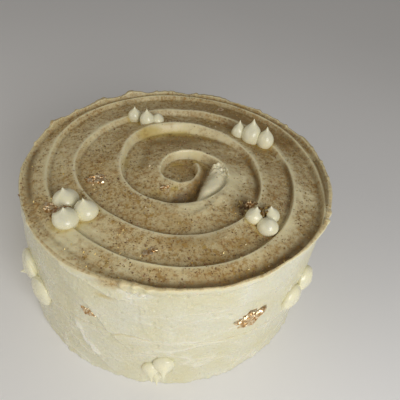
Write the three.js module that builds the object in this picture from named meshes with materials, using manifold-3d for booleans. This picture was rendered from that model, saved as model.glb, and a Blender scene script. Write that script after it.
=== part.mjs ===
// A whole frosted lemon layer cake, in millimetres, +Z up.
// The origin is the centre of the flat underside and +X is the right-hand side as the cake is served.
// Uncut, the sponge and its buttercream coat are one solid, with the palette-knife spiral on top, the
// ragged lip round the rim, the lapped seam round the side and the crumpled gold leaf in that solid.
// The piped drops ("kisses") are pieces of their own, three to a cluster.
import * as THREE from 'three';
import { mergeVertices } from 'three/addons/utils/BufferGeometryUtils.js';
import Module from 'manifold-3d';

const wasm = await Module();
wasm.setup();

// ---- Driving dimensions -----------------------------------------------------------------------
const RIM_RADIUS = 104; // outermost reach of the lip round the top
const CAKE_HEIGHT = 92; // crest level at the centre of the top
const WALL_RADIUS_TOP = 102.4; // side coat, just under the lip
const WALL_RADIUS_BASE = 102.2; // side coat, at the foot
const LEAN_X = 1.5; // how far the top sits off the base centre
const LEAN_Y = 5;
const TILT_X = 0.0272; // slope of the top along X, rise per mm
const TILT_Y = 0.0033;

// ---- The knife's track ------------------------------------------------------------------------
// The crest winds clockwise outwards. Each pair is a turn angle in degrees, clockwise from +X, and a value
// there. Below ANGLE_TIP the track is only the smooth floor of the hollow. At ANGLE_END the crest has run
// out into the lip.
const LIP_INSET = 1.9; // the lip's top edge, inside the rim radius
const LIP_EDGE = RIM_RADIUS - LIP_INSET;
const ANGLE_START = -375;
const ANGLE_TIP = -33;
const ANGLE_END = 1470;
// The crest's distance from the centre, as a share of the rim radius.
const CREST_TRACK = [
  [ANGLE_START, 0], [-200, 0.055], [ANGLE_TIP, 0.112], [30, 0.145], [80, 0.172], [125, 0.15],
  [190, 0.112], [270, 0.16], [325, 0.245], [370, 0.335], [450, 0.368], [510, 0.37],
  [555, 0.395], [585, 0.462], [630, 0.512], [680, 0.51], [725, 0.535], [750, 0.583], [790, 0.622],
  [850, 0.61], [905, 0.675], [990, 0.71], [1080, 0.745], [1150, 0.848], [1205, 0.82],
  [1260, 0.84], [1295, 0.905], [1330, 0.93], [1380, 0.928], [1445, 0.93], [ANGLE_END, LIP_EDGE / RIM_RADIUS],
];
// Depth in mm of the channel outside the crest.
const DEPTH_TRACK = [
  [ANGLE_START, 5.8], [-200, 5.8], [-90, 5.8], [-20, 6.5], [60, 7.5], [130, 5], [200, 4.4], [270, 5.6],
  [330, 4], [450, 3.2], [560, 3.6], [640, 3.8], [720, 3.2], [900, 2.7], [1060, 3], [1125, 3.3],
  [1160, 2.4], [1225, 1.6], [1290, 2.8], [1400, 3.4], [ANGLE_END, 3],
];
// Width in mm of the steep climb to the crest from inside.
const CLIMB_TRACK = [
  [ANGLE_TIP, 2], [60, 2.2], [150, 2.6], [270, 2.8], [380, 3], [450, 2.4], [540, 2.8], [590, 4.2],
  [630, 5.6], [680, 3.6], [810, 2.4], [900, 3], [990, 4], [1080, 2.6], [1170, 2.2], [1260, 2.6],
  [1350, 3.4], [ANGLE_END, 2], [1510, 2], [1550, 4.5], [1600, 4.5], [1640, 2],
];
const CLIMB_SHARE = 0.42; // its most, as a share of a narrow channel
const TIP_FADE = 20; // degrees over which the crest rises out of the hollow's floor
const SHALLOW_WIDTH = [1, 12]; // widths over which a narrow channel reaches its full depth
const GENTLE_POWER = 1.3; // shape of the gentle slope
const CREST_WAVE = 0.6; // unevenness of the crest's height
const CREST_WAVE_PITCH = 0.83; // how slowly it changes round the spiral
const HUMP_TURN = 618; // the second turn stands higher at the back
const HUMP_SPREAD = 62;
const HUMP_RISE = 1.5;

// The swirl's end: a thick smooth tongue lying inside the second turn. Each row is a turn angle, then the
// tongue's inner and outer edge as shares of the rim radius.
const TONGUE_TRACK = [
  [-14, 0.236, 0.262], [-5, 0.212, 0.295], [8, 0.205, 0.315], [35, 0.21, 0.33], [48, 0.223, 0.337],
  [57, 0.25, 0.343], [64, 0.29, 0.349], [72, 0.34, 0.356],
];
const TONGUE_HEIGHT = 7.4;
const TONGUE_CREASE = 0.8; // how far its outer side falls before it meets the crest
const TONGUE_ROOT = 0.1; // share of its length over which it rises
const TONGUE_FALL = 0.72; // share of its length from which it sinks

// ---- The lip and the side ---------------------------------------------------------------------
const LIP_DEPTH = 7.5; // how far down the side the lip reaches
const LIP_BELLY = 1.6; // depth at which it reaches furthest
const LIP_RAGGED = 0.9; // unevenness of the lip's reach and height
// Lumps and low places of the lip: angle and half width in degrees, then rise and reach in mm.
const LIP_LUMPS = [
  [115, 9, 2.2, 1], [130, 8, 1.3, 1], [155, 9, 1.2, 0.9], [76, 12, 1.1, 0.6], [97, 9, 1, 0.5],
  [181, 21, 0, -2.4], [205, 25, 0, -2.6], [231, 31, -2.2, -0.6], [315, 26, 1.5, -0.4], [330, 7, 1.4, 0.4],
  [258, 8, 0.8, 0.8], [284, 20, 0, -0.6], [20, 10, 0.7, 0.5],
];
const SIDE_WAVE = 0.55; // slow unevenness of the side
const SEAM_LEVEL = 0.43; // height of the lapped seam, as a share of the cake's height
const SEAM_SWING = 0.08;
const SEAM_PEAK_ANGLE = 258; // degrees, counter-clockwise from +X
const SEAM_STEP = 1.5; // how far the upper lap stands over the lower one
const SEAM_ROLL = 9; // height over which the upper lap fades into the wall
const SEAM_PLAIN = [271, 26, 0.5]; // where the lap stands out more: angle, half width, added strength
// Where the slow waves begin, in radians.
const PHASE = { crest: 1.7, lipHeight: 0.6, lipReach: 2.2, side: 3.1, lap: 5.2 };

// ---- Mesh density -----------------------------------------------------------------------------
const COLUMNS = 72; // columns in one turn
const GENTLE_STOPS = [0, 0.1, 0.34, 0.66, 1]; // rows of a channel's gentle slope, as shares of its width
const CLIMB_STOP = 0.6; // the row of its steep climb
const CHANNEL_ROWS = GENTLE_STOPS.length + 1;
const LIP_ROWS = [0.6, 1.6, 4.4]; // depths of the lip's rows below its top edge
const UPPER_ROWS = 4; // rows of the side above the seam
const LOWER_ROWS = 4; // and below it
const SEAM_GAP = 1.3; // half the height of the seam's step
const FOOT_HEIGHT = 3;

// ---- Piped drops ------------------------------------------------------------------------------
// A drop's profile: distance from its axis as a share of its radius, and height as a share of its own.
const DROP_PROFILES = {
  peaked: [[0.88, 0], [1, 0.2], [0.92, 0.42], [0.62, 0.62], [0.25, 0.78], [0, 1]],
  pressed: [[0.93, 0], [1, 0.27], [0.93, 0.52], [0.72, 0.76], [0.38, 0.93], [0, 1]],
  blunt: [[0.9, 0], [1, 0.25], [0.95, 0.47], [0.74, 0.68], [0.36, 0.89], [0, 1]],
  spiked: [[0.92, 0], [1, 0.18], [0.82, 0.42], [0.42, 0.6], [0.16, 0.8], [0, 1]],
};
const DROP_SIDES = 10;
const DROP_ROOT = 5; // length of the stalk that is trimmed to the coat below
const DROP_SEAT = 0.8; // how far a drop is pressed into the coat
const CLEARANCE = 0.35; // gap between touching pieces

// On top, x and y are shares of the rim radius. On the side, the angle is in degrees, counter-clockwise
// from +X, and the level is a share of the cake's height. Then come a drop's width and height in mm, its
// profile, and how far its tip leans in its own X and Y as a share of its height.
const TOP_CLUSTERS = {
  left: [
    [-0.637, -0.393, 15.5, 12.4, 'peaked', -0.08, 0.06], [-0.504, -0.474, 14.6, 12, 'peaked', -0.1, 0.05],
    [-0.598, -0.555, 15.4, 11, 'peaked', -0.04, 0.03],
  ],
  right: [
    [0.46, -0.446, 11, 10, 'peaked', 0.05, 0.04], [0.562, -0.413, 11.6, 9.2, 'peaked', -0.12, 0.05],
    [0.534, -0.513, 12.6, 9, 'blunt', 0.02, -0.05],
  ],
  back_left: [
    [-0.356, 0.583, 10, 10.5, 'peaked', 0.02, 0.04], [-0.256, 0.522, 11.5, 13, 'peaked', -0.04, 0.0],
    [-0.18, 0.54, 10, 8, 'blunt', 0.06, 0.0],
  ],
  back_right: [
    [0.424, 0.45, 10.5, 14, 'peaked', 0.0, 0.04], [0.518, 0.408, 15, 19.5, 'peaked', -0.03, 0.0],
    [0.614, 0.35, 12.5, 16, 'peaked', -0.05, 0.02],
  ],
};
const SIDE_CLUSTERS = {
  side_left: [
    [211, 0.492, 22, 6.5, 'pressed', 0.02, -0.05], [219.6, 0.398, 21, 6.5, 'pressed', 0.0, -0.05],
    [209, 0.405, 12, 9.5, 'spiked', 0.0, 0.05],
  ],
  side_right: [
    [329, 0.55, 17, 7.5, 'pressed', 0.02, -0.15], [320.3, 0.5, 19, 7, 'pressed', 0.12, -0.05],
    [331, 0.475, 10, 7, 'spiked', 0.0, -0.1],
  ],
  side_front: [
    [266.5, 0.185, 10.5, 8.5, 'spiked', 0.25, -0.5], [270.6, 0.24, 13, 9.5, 'spiked', 0.1, -0.62],
    [268.7, 0.14, 9.5, 8.5, 'spiked', 0.1, -0.4],
  ],
  side_back: [
    [84, 0.61, 16, 8, 'pressed', 0.05, -0.1], [93.5, 0.55, 17, 8, 'pressed', 0.0, -0.1],
    [86, 0.45, 15, 9, 'peaked', 0.05, -0.15],
  ],
  side_back_left: [
    [146, 0.2, 12, 8.5, 'spiked', 0.2, -0.4], [150.5, 0.26, 13.5, 9.5, 'spiked', -0.1, -0.5],
    [153, 0.17, 12, 8.5, 'spiked', -0.1, -0.4],
  ],
};

// ---- Gold leaf --------------------------------------------------------------------------------
// Crumpled scraps: place as above, then width, length, how far they stand off and their turn in degrees.
const TOP_FLAKES = [
  [-0.685, -0.45, 12, 7.5, 2.2, 10], [0.462, -0.325, 10, 6, 3.5, 8], [-0.495, -0.149, 14, 9, 1.8, 20],
  [-0.117, -0.731, 8.5, 5.5, 1.2, 40], [-0.075, -0.205, 6, 4, 1.3, 10], [0.3, 0.78, 8, 5, 1.4, 60],
];
const SIDE_FLAKES = [
  [298, 0.6, 19, 13.5, 2, 28], [244.5, 0.61, 10, 7, 1.6, 15], [118, 0.52, 14, 10, 2, -25],
  [24, 0.66, 9, 6, 1.6, 30],
];
const FLAKE_CELLS_X = 4;
const FLAKE_CELLS_Y = 3;
const FLAKE_ROOT = 1.4; // depth of a scrap's underside below the coat

// ---- Small helpers ----------------------------------------------------------------------------
const STEP_ANGLE = 360 / COLUMNS;
const FIRST_COLUMN = Math.round(ANGLE_START / STEP_ANGLE);
const LAST_COLUMN = Math.round(ANGLE_END / STEP_ANGLE);

const { smoothstep, lerp, clamp, degToRad, euclideanModulo } = THREE.MathUtils;

// A bump that is 1 at the middle and 0 beyond the half width.
function bump(distance, halfWidth) {
  return 1 - smoothstep(Math.abs(distance), 0, halfWidth);
}

// Uneven but repeatable: sines of an angle in radians at whole frequencies, so that it closes.
function unevenness(angle, phase) {
  return 0.45 * Math.sin(3 * angle + phase)
    + 0.3 * Math.sin(7 * angle + 2.3 * phase)
    + 0.2 * Math.sin(13 * angle + 4.1 * phase)
    + 0.15 * Math.sin(22 * angle + 5.7 * phase);
}

// ---- The spiral -------------------------------------------------------------------------------
// A track through pairs of a turn angle and a value, which keeps its end values beyond its ends.
function makeTrack(pairs) {
  const angles = pairs.map(([angle]) => angle);
  const curve = new THREE.CubicInterpolant(angles, pairs.map(([, value]) => value), 1);
  return (clockwise) => curve.evaluate(clamp(clockwise, angles[0], angles[angles.length - 1]))[0];
}

const crestShareAt = makeTrack(CREST_TRACK);
const channelDepth = makeTrack(DEPTH_TRACK);
const climbWidth = makeTrack(CLIMB_TRACK);
const tongueEdges = new THREE.LinearInterpolant(
  TONGUE_TRACK.map(([angle]) => angle),
  TONGUE_TRACK.flatMap(([, inner, outer]) => [inner, outer]),
  2,
);

// Distance of the crest from the centre at a clockwise angle in degrees.
function crestRadius(clockwise) {
  return crestShareAt(clockwise) * RIM_RADIUS;
}

// How much of the crest is there: none in the hollow's floor, all of it past the tip.
function crestShare(clockwise) {
  return smoothstep(clockwise, ANGLE_TIP - TIP_FADE / 2, ANGLE_TIP + TIP_FADE);
}

function crestHeight(clockwise) {
  const wave = CREST_WAVE * unevenness(degToRad(clockwise) * CREST_WAVE_PITCH, PHASE.crest);
  const hump = HUMP_RISE * bump(clockwise - HUMP_TURN, HUMP_SPREAD);
  return lerp(-channelDepth(clockwise), wave + hump, crestShare(clockwise));
}

// Width of the steep climb from the channel to its outer crest.
function climbRun(clockwise, width) {
  return Math.min(climbWidth(clockwise + 360), CLIMB_SHARE * width);
}

// The thick tongue where the knife left the cake.
function tongueHeight(clockwise, radius) {
  const from = TONGUE_TRACK[0][0];
  const to = TONGUE_TRACK[TONGUE_TRACK.length - 1][0];
  const along = (clockwise - from) / (to - from);
  if (along <= 0 || along >= 1) {
    return 0;
  }
  const [inner, outer] = tongueEdges.evaluate(clockwise);
  const middle = 0.5 * (inner + outer) * RIM_RADIUS;
  const halfWidth = 0.5 * (outer - inner) * RIM_RADIUS;
  const ends = smoothstep(along, 0, TONGUE_ROOT) * (1 - smoothstep(along, TONGUE_FALL, 1));
  const aside = clamp((radius - middle) / halfWidth, -1, 1);
  const fallen = aside > 0 ? TONGUE_CREASE * aside : aside;
  return TONGUE_HEIGHT * ends * Math.sqrt(1 - fallen ** 2);
}

// The channel that a place on the top lies in: its inner crest's clockwise angle.
function channelAngleAt(x, y) {
  const radius = Math.hypot(x, y);
  let clockwise = euclideanModulo(THREE.MathUtils.radToDeg(Math.atan2(-y, x)), 360) - 720;
  while (clockwise + 360 < ANGLE_END && crestRadius(clockwise + 360) < radius) {
    clockwise += 360;
  }
  return clockwise;
}

function outerRadius(clockwise) {
  const next = clockwise + 360;
  return next >= ANGLE_END ? LIP_EDGE : crestRadius(next);
}

// Height of the relief at a distance out from the inner crest of the channel. The coat slopes gently down
// and outwards, then climbs steeply to the next crest.
function channelHeight(clockwise, distance) {
  const inner = clockwise < ANGLE_START ? 0 : crestRadius(clockwise);
  const width = Math.max(outerRadius(clockwise) - inner, 1e-6);
  const next = clockwise + 360;
  const innerHeight = crestHeight(clockwise);
  const outerHeight = next >= ANGLE_END ? lipHeight(clockwise) : crestHeight(next);
  const shallow = smoothstep(width, ...SHALLOW_WIDTH);
  const floor = lerp(Math.min(innerHeight, outerHeight), -channelDepth(clockwise), shallow);
  const steepRun = climbRun(clockwise, width);
  const gentleRun = width - steepRun;
  const fall = Math.pow(Math.sin(0.5 * Math.PI * Math.min(distance / gentleRun, 1)), GENTLE_POWER);
  const climb = smoothstep(distance - gentleRun, 0, steepRun);
  const height = distance < gentleRun ? lerp(innerHeight, floor, fall) : lerp(floor, outerHeight, climb);
  return Math.max(height, floor + tongueHeight(clockwise, inner + distance));
}

// The tilted plane that the crests touch, about the middle of the top.
function crestPlane(x, y) {
  return CAKE_HEIGHT + TILT_X * (x + LEAN_X) + TILT_Y * (y + LEAN_Y);
}

// A point of the top: the clockwise angle of its inner crest, and its distance out from that crest.
function topPoint(clockwise, distance) {
  const inner = clockwise < ANGLE_START ? 0 : crestRadius(clockwise);
  const radius = inner + distance;
  const x = radius * Math.cos(degToRad(clockwise));
  const y = -radius * Math.sin(degToRad(clockwise));
  const z = crestPlane(x, y) + channelHeight(clockwise, distance);
  return [x + LEAN_X, y + LEAN_Y, z];
}

// Height of the coat at a place on the top.
function coatHeight(x, y) {
  const clockwise = channelAngleAt(x, y);
  const inner = clockwise < ANGLE_START ? 0 : crestRadius(clockwise);
  return crestPlane(x, y) + channelHeight(clockwise, Math.hypot(x, y) - inner);
}

// ---- The lip and the side ---------------------------------------------------------------------
// 1 at a place round the rim and 0 beyond its half width in degrees, at an angle in radians.
function bumpAt(angle, degrees, halfWidth) {
  return bump(euclideanModulo(THREE.MathUtils.radToDeg(angle) - degrees + 180, 360) - 180, halfWidth);
}

// Sum of the listed lumps at an angle in radians: their rise, or with isReach how far they reach out.
function lipLumps(angle, isReach) {
  return LIP_LUMPS.reduce((sum, [degrees, halfWidth, rise, reach]) => (
    sum + (isReach ? reach : rise) * bumpAt(angle, degrees, halfWidth)
  ), 0);
}

function lipHeight(clockwise) {
  const angle = -degToRad(clockwise);
  return LIP_RAGGED * unevenness(angle, PHASE.lipHeight) + lipLumps(angle, false);
}

function seamLevel(angle) {
  return SEAM_LEVEL + SEAM_SWING * Math.cos(2 * (angle - degToRad(SEAM_PEAK_ANGLE)));
}

// Reach of the side coat from the cake's axis, at an angle in radians and a height in mm.
function wallReach(angle, height, top) {
  const down = top - height;
  const level = height / top;
  const wall = lerp(WALL_RADIUS_BASE, WALL_RADIUS_TOP, level);
  const lip = bump(down - LIP_BELLY, LIP_DEPTH - LIP_BELLY) * (RIM_RADIUS - WALL_RADIUS_TOP);
  const edge = LIP_RAGGED * unevenness(angle, PHASE.lipReach) + lipLumps(angle, true);
  const ragged = edge * bump(down - LIP_BELLY, LIP_DEPTH);
  const slow = SIDE_WAVE * unevenness(angle, PHASE.side + level) * smoothstep(level, 0, 0.1);
  const seam = seamLevel(angle) * top;
  const above = smoothstep(height, seam - SEAM_GAP, seam + SEAM_GAP);
  const [plainAngle, plainSpread, plainStrength] = SEAM_PLAIN;
  const plain = plainStrength * bumpAt(angle, plainAngle, plainSpread);
  const lapStrength = 0.6 + 0.4 * unevenness(angle, PHASE.lap) + plain;
  const lap = SEAM_STEP * lapStrength * above * (1 - smoothstep(height - seam, SEAM_GAP, SEAM_ROLL));
  return wall + lip + ragged + slow + lap;
}

function wallPoint(angle, height, top) {
  const reach = wallReach(angle, height, top);
  const lean = height / CAKE_HEIGHT;
  return [reach * Math.cos(angle) + LEAN_X * lean, reach * Math.sin(angle) + LEAN_Y * lean, height];
}

// Heights of the side's rows at one column, from just under the lip's edge down to the floor.
function sideHeights(angle, top) {
  const seam = seamLevel(angle) * top;
  const heights = LIP_ROWS.map((depth) => top - depth);
  const lipFoot = top - LIP_DEPTH;
  for (let row = 0; row < UPPER_ROWS; row += 1) {
    heights.push(lerp(lipFoot, seam + SEAM_GAP, row / UPPER_ROWS));
  }
  heights.push(seam + SEAM_GAP);
  for (let row = 0; row < LOWER_ROWS; row += 1) {
    heights.push(lerp(seam - SEAM_GAP, FOOT_HEIGHT, row / LOWER_ROWS));
  }
  heights.push(FOOT_HEIGHT, 0);
  return heights;
}

// ---- The cake's body --------------------------------------------------------------------------
// The top is one strip that winds with the crest, each turn sharing its edge with the next. The side
// hangs from the last turn and closes over the flat underside.
function buildBodyGeometry() {
  const points = [];
  const triangles = [];
  for (let column = FIRST_COLUMN; column < LAST_COLUMN; column += 1) {
    const clockwise = column * STEP_ANGLE;
    const width = outerRadius(clockwise) - crestRadius(clockwise);
    const steepRun = climbRun(clockwise, width);
    const gentleRun = width - steepRun;
    const stops = [...GENTLE_STOPS.map((share) => share * gentleRun), gentleRun + CLIMB_STOP * steepRun];
    for (const distance of stops) {
      points.push(topPoint(clockwise, distance));
    }
  }
  const rimStart = points.length;
  const rimColumn = LAST_COLUMN - COLUMNS;
  const sideRows = sideHeights(0, CAKE_HEIGHT).length;
  for (let column = rimColumn; column < LAST_COLUMN; column += 1) {
    const clockwise = column * STEP_ANGLE;
    const rimPoint = topPoint(clockwise, outerRadius(clockwise) - crestRadius(clockwise));
    points.push(rimPoint);
    for (const height of sideHeights(-degToRad(clockwise), rimPoint[2])) {
      points.push(wallPoint(-degToRad(clockwise), height, rimPoint[2]));
    }
  }
  const undersideCentre = points.length;
  points.push([0, 0, 0]);

  const rimIndex = (column, row) => rimStart + ((column - rimColumn) % COLUMNS) * (sideRows + 1) + row;
  const topIndex = (column, row) => {
    if (row === CHANNEL_ROWS) {
      return column + COLUMNS >= LAST_COLUMN ? rimIndex(column, 0) : topIndex(column + COLUMNS, 0);
    }
    if (column >= LAST_COLUMN) {
      return rimIndex(rimColumn, 0);
    }
    return (column - FIRST_COLUMN) * CHANNEL_ROWS + row;
  };
  const addTriangle = (a, b, c) => {
    if (a !== b && b !== c && c !== a) {
      triangles.push(a, b, c);
    }
  };
  const addCell = (a, b, c, d) => {
    addTriangle(a, b, c);
    addTriangle(a, c, d);
  };

  for (let column = FIRST_COLUMN; column < LAST_COLUMN; column += 1) {
    for (let row = 0; row < CHANNEL_ROWS; row += 1) {
      addCell(
        topIndex(column, row), topIndex(column + 1, row),
        topIndex(column + 1, row + 1), topIndex(column, row + 1),
      );
    }
  }
  const hollowCentre = topIndex(FIRST_COLUMN, 0);
  const lastHollow = FIRST_COLUMN + COLUMNS - 1;
  for (let column = FIRST_COLUMN + 1; column < lastHollow; column += 1) {
    addTriangle(hollowCentre, topIndex(column + 1, 0), topIndex(column, 0));
  }
  for (let row = 0; row < CHANNEL_ROWS; row += 1) {
    addTriangle(topIndex(FIRST_COLUMN, row), topIndex(FIRST_COLUMN, row + 1), topIndex(lastHollow, 0));
  }
  for (let column = rimColumn; column < rimColumn + COLUMNS; column += 1) {
    for (let row = 0; row < sideRows; row += 1) {
      addCell(
        rimIndex(column, row), rimIndex(column + 1, row),
        rimIndex(column + 1, row + 1), rimIndex(column, row + 1),
      );
    }
    addTriangle(rimIndex(column, sideRows), rimIndex(column + 1, sideRows), undersideCentre);
  }
  return indexedGeometry(points, triangles);
}

function indexedGeometry(points, triangles) {
  const geometry = new THREE.BufferGeometry();
  geometry.setAttribute('position', new THREE.Float32BufferAttribute(points.flat(), 3));
  geometry.setIndex(triangles);
  return geometry;
}

// ---- Joining and cutting ----------------------------------------------------------------------
function toSolid(geometry) {
  const bare = geometry.clone();
  bare.deleteAttribute('normal');
  bare.deleteAttribute('uv');
  const merged = mergeVertices(bare, 1e-4);
  return new wasm.Manifold(new wasm.Mesh({
    numProp: 3,
    vertProperties: new Float32Array(merged.attributes.position.array),
    triVerts: new Uint32Array(merged.index.array),
  }));
}

function toGeometry(solid) {
  const mesh = solid.getMesh();
  const geometry = new THREE.BufferGeometry();
  geometry.setAttribute('position', new THREE.BufferAttribute(new Float32Array(mesh.vertProperties), 3));
  geometry.setIndex(new THREE.BufferAttribute(new Uint32Array(mesh.triVerts), 1));
  geometry.computeVertexNormals();
  return geometry;
}

// The same shape, grown by the clearance along its normals.
function grown(geometry) {
  const copy = geometry.clone();
  copy.computeVertexNormals();
  const { position, normal } = copy.attributes;
  for (let i = 0; i < position.count; i += 1) {
    position.setXYZ(
      i,
      position.getX(i) + CLEARANCE * normal.getX(i),
      position.getY(i) + CLEARANCE * normal.getY(i),
      position.getZ(i) + CLEARANCE * normal.getZ(i),
    );
  }
  return copy;
}

// ---- Places on the coat -----------------------------------------------------------------------
// A frame whose Z axis leaves the coat, at a place on the top.
function topFrame(shareX, shareY) {
  const x = shareX * RIM_RADIUS;
  const y = shareY * RIM_RADIUS;
  return new THREE.Matrix4().makeTranslation(x + LEAN_X, y + LEAN_Y, coatHeight(x, y));
}

// The same on the side, where X runs round the cake and Y runs up it.
function sideFrame(degrees, level) {
  const angle = degToRad(degrees);
  const outwards = new THREE.Vector3(Math.cos(angle), Math.sin(angle), 0);
  const round = new THREE.Vector3(-Math.sin(angle), Math.cos(angle), 0);
  const frame = new THREE.Matrix4().makeBasis(round, new THREE.Vector3(0, 0, 1), outwards);
  return frame.setPosition(...wallPoint(angle, level * CAKE_HEIGHT, CAKE_HEIGHT));
}

// ---- Gold leaf --------------------------------------------------------------------------------
// A crumpled scrap: an uneven outline on a grid of cells, its face in folds, its underside in the coat.
function flakeGeometry(width, length, standOff, seed, grow) {
  const points = [];
  const triangles = [];
  const across = FLAKE_CELLS_X + 1;
  const layer = across * (FLAKE_CELLS_Y + 1);
  for (const isFace of [true, false]) {
    for (let row = 0; row <= FLAKE_CELLS_Y; row += 1) {
      for (let column = 0; column <= FLAKE_CELLS_X; column += 1) {
        const u = column / FLAKE_CELLS_X - 0.5;
        const v = row / FLAKE_CELLS_Y - 0.5;
        const ragged = 1 + 0.22 * Math.sin(5.1 * column + 3.3 * row + seed);
        const fold = 0.55 + 0.45 * Math.cos(Math.PI * column + 2.2 * row + seed);
        const height = isFace ? standOff * fold + grow : -FLAKE_ROOT - grow;
        points.push([u * (width * ragged + 2 * grow), v * (length * ragged + 2 * grow), height]);
      }
    }
  }
  const addCell = (a, b, c, d) => triangles.push(a, b, c, a, c, d);
  for (let row = 0; row < FLAKE_CELLS_Y; row += 1) {
    for (let column = 0; column < FLAKE_CELLS_X; column += 1) {
      const corner = row * across + column;
      addCell(corner, corner + 1, corner + across + 1, corner + across);
      const under = corner + layer;
      triangles.push(under, under + across + 1, under + 1, under, under + across, under + across + 1);
    }
  }
  const edge = [];
  for (let column = 0; column < FLAKE_CELLS_X; column += 1) {
    edge.push(column);
  }
  for (let row = 0; row < FLAKE_CELLS_Y; row += 1) {
    edge.push(row * across + FLAKE_CELLS_X);
  }
  for (let column = FLAKE_CELLS_X; column > 0; column -= 1) {
    edge.push(FLAKE_CELLS_Y * across + column);
  }
  for (let row = FLAKE_CELLS_Y; row > 0; row -= 1) {
    edge.push(row * across);
  }
  edge.forEach((from, i) => {
    const to = edge[(i + 1) % edge.length];
    addCell(from, from + layer, to + layer, to);
  });
  return indexedGeometry(points, triangles);
}

function placedFlake([placeA, placeB, width, length, standOff, turn], frameOf, seed, grow) {
  const geometry = flakeGeometry(width, length, standOff, seed, grow);
  geometry.applyMatrix4(new THREE.Matrix4().makeRotationZ(degToRad(turn)));
  geometry.applyMatrix4(frameOf(placeA, placeB));
  return geometry;
}

// ---- Piped drops ------------------------------------------------------------------------------
// A drop of a profile, whose axis bends by the cube of the height.
function dropGeometry([, , width, height, shape, leanX, leanY], grow) {
  const radius = width / 2 + grow;
  const tall = height + grow;
  const profile = DROP_PROFILES[shape].map(([out, up]) => new THREE.Vector2(out * radius, up * tall));
  const rootRadius = profile[0].x;
  profile.unshift(new THREE.Vector2(0, -DROP_ROOT - grow), new THREE.Vector2(rootRadius, -DROP_ROOT - grow));
  const geometry = new THREE.LatheGeometry(profile, DROP_SIDES).rotateX(Math.PI / 2);
  const { position } = geometry.attributes;
  for (let i = 0; i < position.count; i += 1) {
    const bend = clamp(position.getZ(i) / tall, 0, 1) ** 3 * height;
    position.setX(i, position.getX(i) + bend * leanX);
    position.setY(i, position.getY(i) + bend * leanY);
  }
  return geometry;
}

function placedDrop(drop, frameOf, grow) {
  const geometry = dropGeometry(drop, grow);
  geometry.translate(0, 0, -DROP_SEAT);
  return geometry.applyMatrix4(frameOf(drop[0], drop[1]));
}

// The drops of one cluster, each trimmed to the coat and to the drops piped before it.
function buildCluster(name, drops, frameOf, grownBody) {
  const piped = [];
  return drops.map((drop, i) => {
    let solid = toSolid(placedDrop(drop, frameOf, 0)).subtract(grownBody);
    for (const earlier of piped) {
      solid = solid.subtract(earlier);
    }
    piped.push(toSolid(placedDrop(drop, frameOf, CLEARANCE)));
    return { name: `kiss_${name}_${i + 1}`, geometry: toGeometry(solid) };
  });
}

// ---- Assembly ---------------------------------------------------------------------------------
const buttercreamCoat = new THREE.MeshStandardMaterial({ color: 0xd9cfa8, roughness: 0.5, metalness: 0 });
const pipedButtercream = new THREE.MeshStandardMaterial({ color: 0xe6e0c0, roughness: 0.35, metalness: 0 });

const bodyGeometry = buildBodyGeometry();
const flakes = [
  ...TOP_FLAKES.map((flake) => [flake, topFrame]),
  ...SIDE_FLAKES.map((flake) => [flake, sideFrame]),
];
let cakeSolid = toSolid(bodyGeometry);
let grownBody = toSolid(grown(bodyGeometry));
flakes.forEach(([flake, frameOf], i) => {
  cakeSolid = cakeSolid.add(toSolid(placedFlake(flake, frameOf, i, 0)));
  grownBody = grownBody.add(toSolid(placedFlake(flake, frameOf, i, CLEARANCE)));
});

const group = new THREE.Group();

function addPiece(name, geometry, material) {
  const mesh = new THREE.Mesh(geometry, material);
  mesh.name = name;
  group.add(mesh);
}

addPiece('cake', toGeometry(cakeSolid), buttercreamCoat);
for (const [name, drops] of Object.entries(TOP_CLUSTERS)) {
  for (const piece of buildCluster(name, drops, topFrame, grownBody)) {
    addPiece(piece.name, piece.geometry, pipedButtercream);
  }
}
for (const [name, drops] of Object.entries(SIDE_CLUSTERS)) {
  for (const piece of buildCluster(name, drops, sideFrame, grownBody)) {
    addPiece(piece.name, piece.geometry, pipedButtercream);
  }
}

export default group;
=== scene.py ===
"""The looks of a whole frosted lemon layer cake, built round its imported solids.

Sizes are in millimetres and angles in degrees until a mesh is made. The coat's surface repeats the
part's own formulas (the knife's spiral, the lip, the lapped side) and adds the finer relief.
"""
import math

import bpy
import numpy as np
from mathutils import Matrix


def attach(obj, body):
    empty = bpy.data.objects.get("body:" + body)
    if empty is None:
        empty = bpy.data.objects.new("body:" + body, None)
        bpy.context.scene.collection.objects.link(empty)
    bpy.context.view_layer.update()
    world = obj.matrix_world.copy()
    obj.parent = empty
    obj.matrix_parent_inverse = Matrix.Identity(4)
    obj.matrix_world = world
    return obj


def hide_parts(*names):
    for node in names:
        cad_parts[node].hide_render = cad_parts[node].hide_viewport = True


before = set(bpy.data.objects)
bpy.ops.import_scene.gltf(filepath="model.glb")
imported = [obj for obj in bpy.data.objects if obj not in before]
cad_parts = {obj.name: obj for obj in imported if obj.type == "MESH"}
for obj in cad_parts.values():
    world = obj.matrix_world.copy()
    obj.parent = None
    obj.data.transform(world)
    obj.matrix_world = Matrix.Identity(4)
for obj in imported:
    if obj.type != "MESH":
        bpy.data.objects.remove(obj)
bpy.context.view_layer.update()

# ---- The cake's sizes, as in the part ---------------------------------------------------------
RIM_RADIUS = 104.0
CAKE_HEIGHT = 92.0
WALL_RADIUS_TOP = 102.4
WALL_RADIUS_BASE = 102.2
# How far the top has slid from over the foot in mm, and its slope, both along X and Y.
LEAN = np.array([1.5, 5.0])
TILT = np.array([0.0272, 0.0033])
LIP_EDGE = RIM_RADIUS - 1.9
# Turn angles where the crest begins at the centre, where its tip rises and where it meets the rim.
ANGLE_START, ANGLE_TIP, ANGLE_END = -375.0, -33.0, 1470.0
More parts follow.
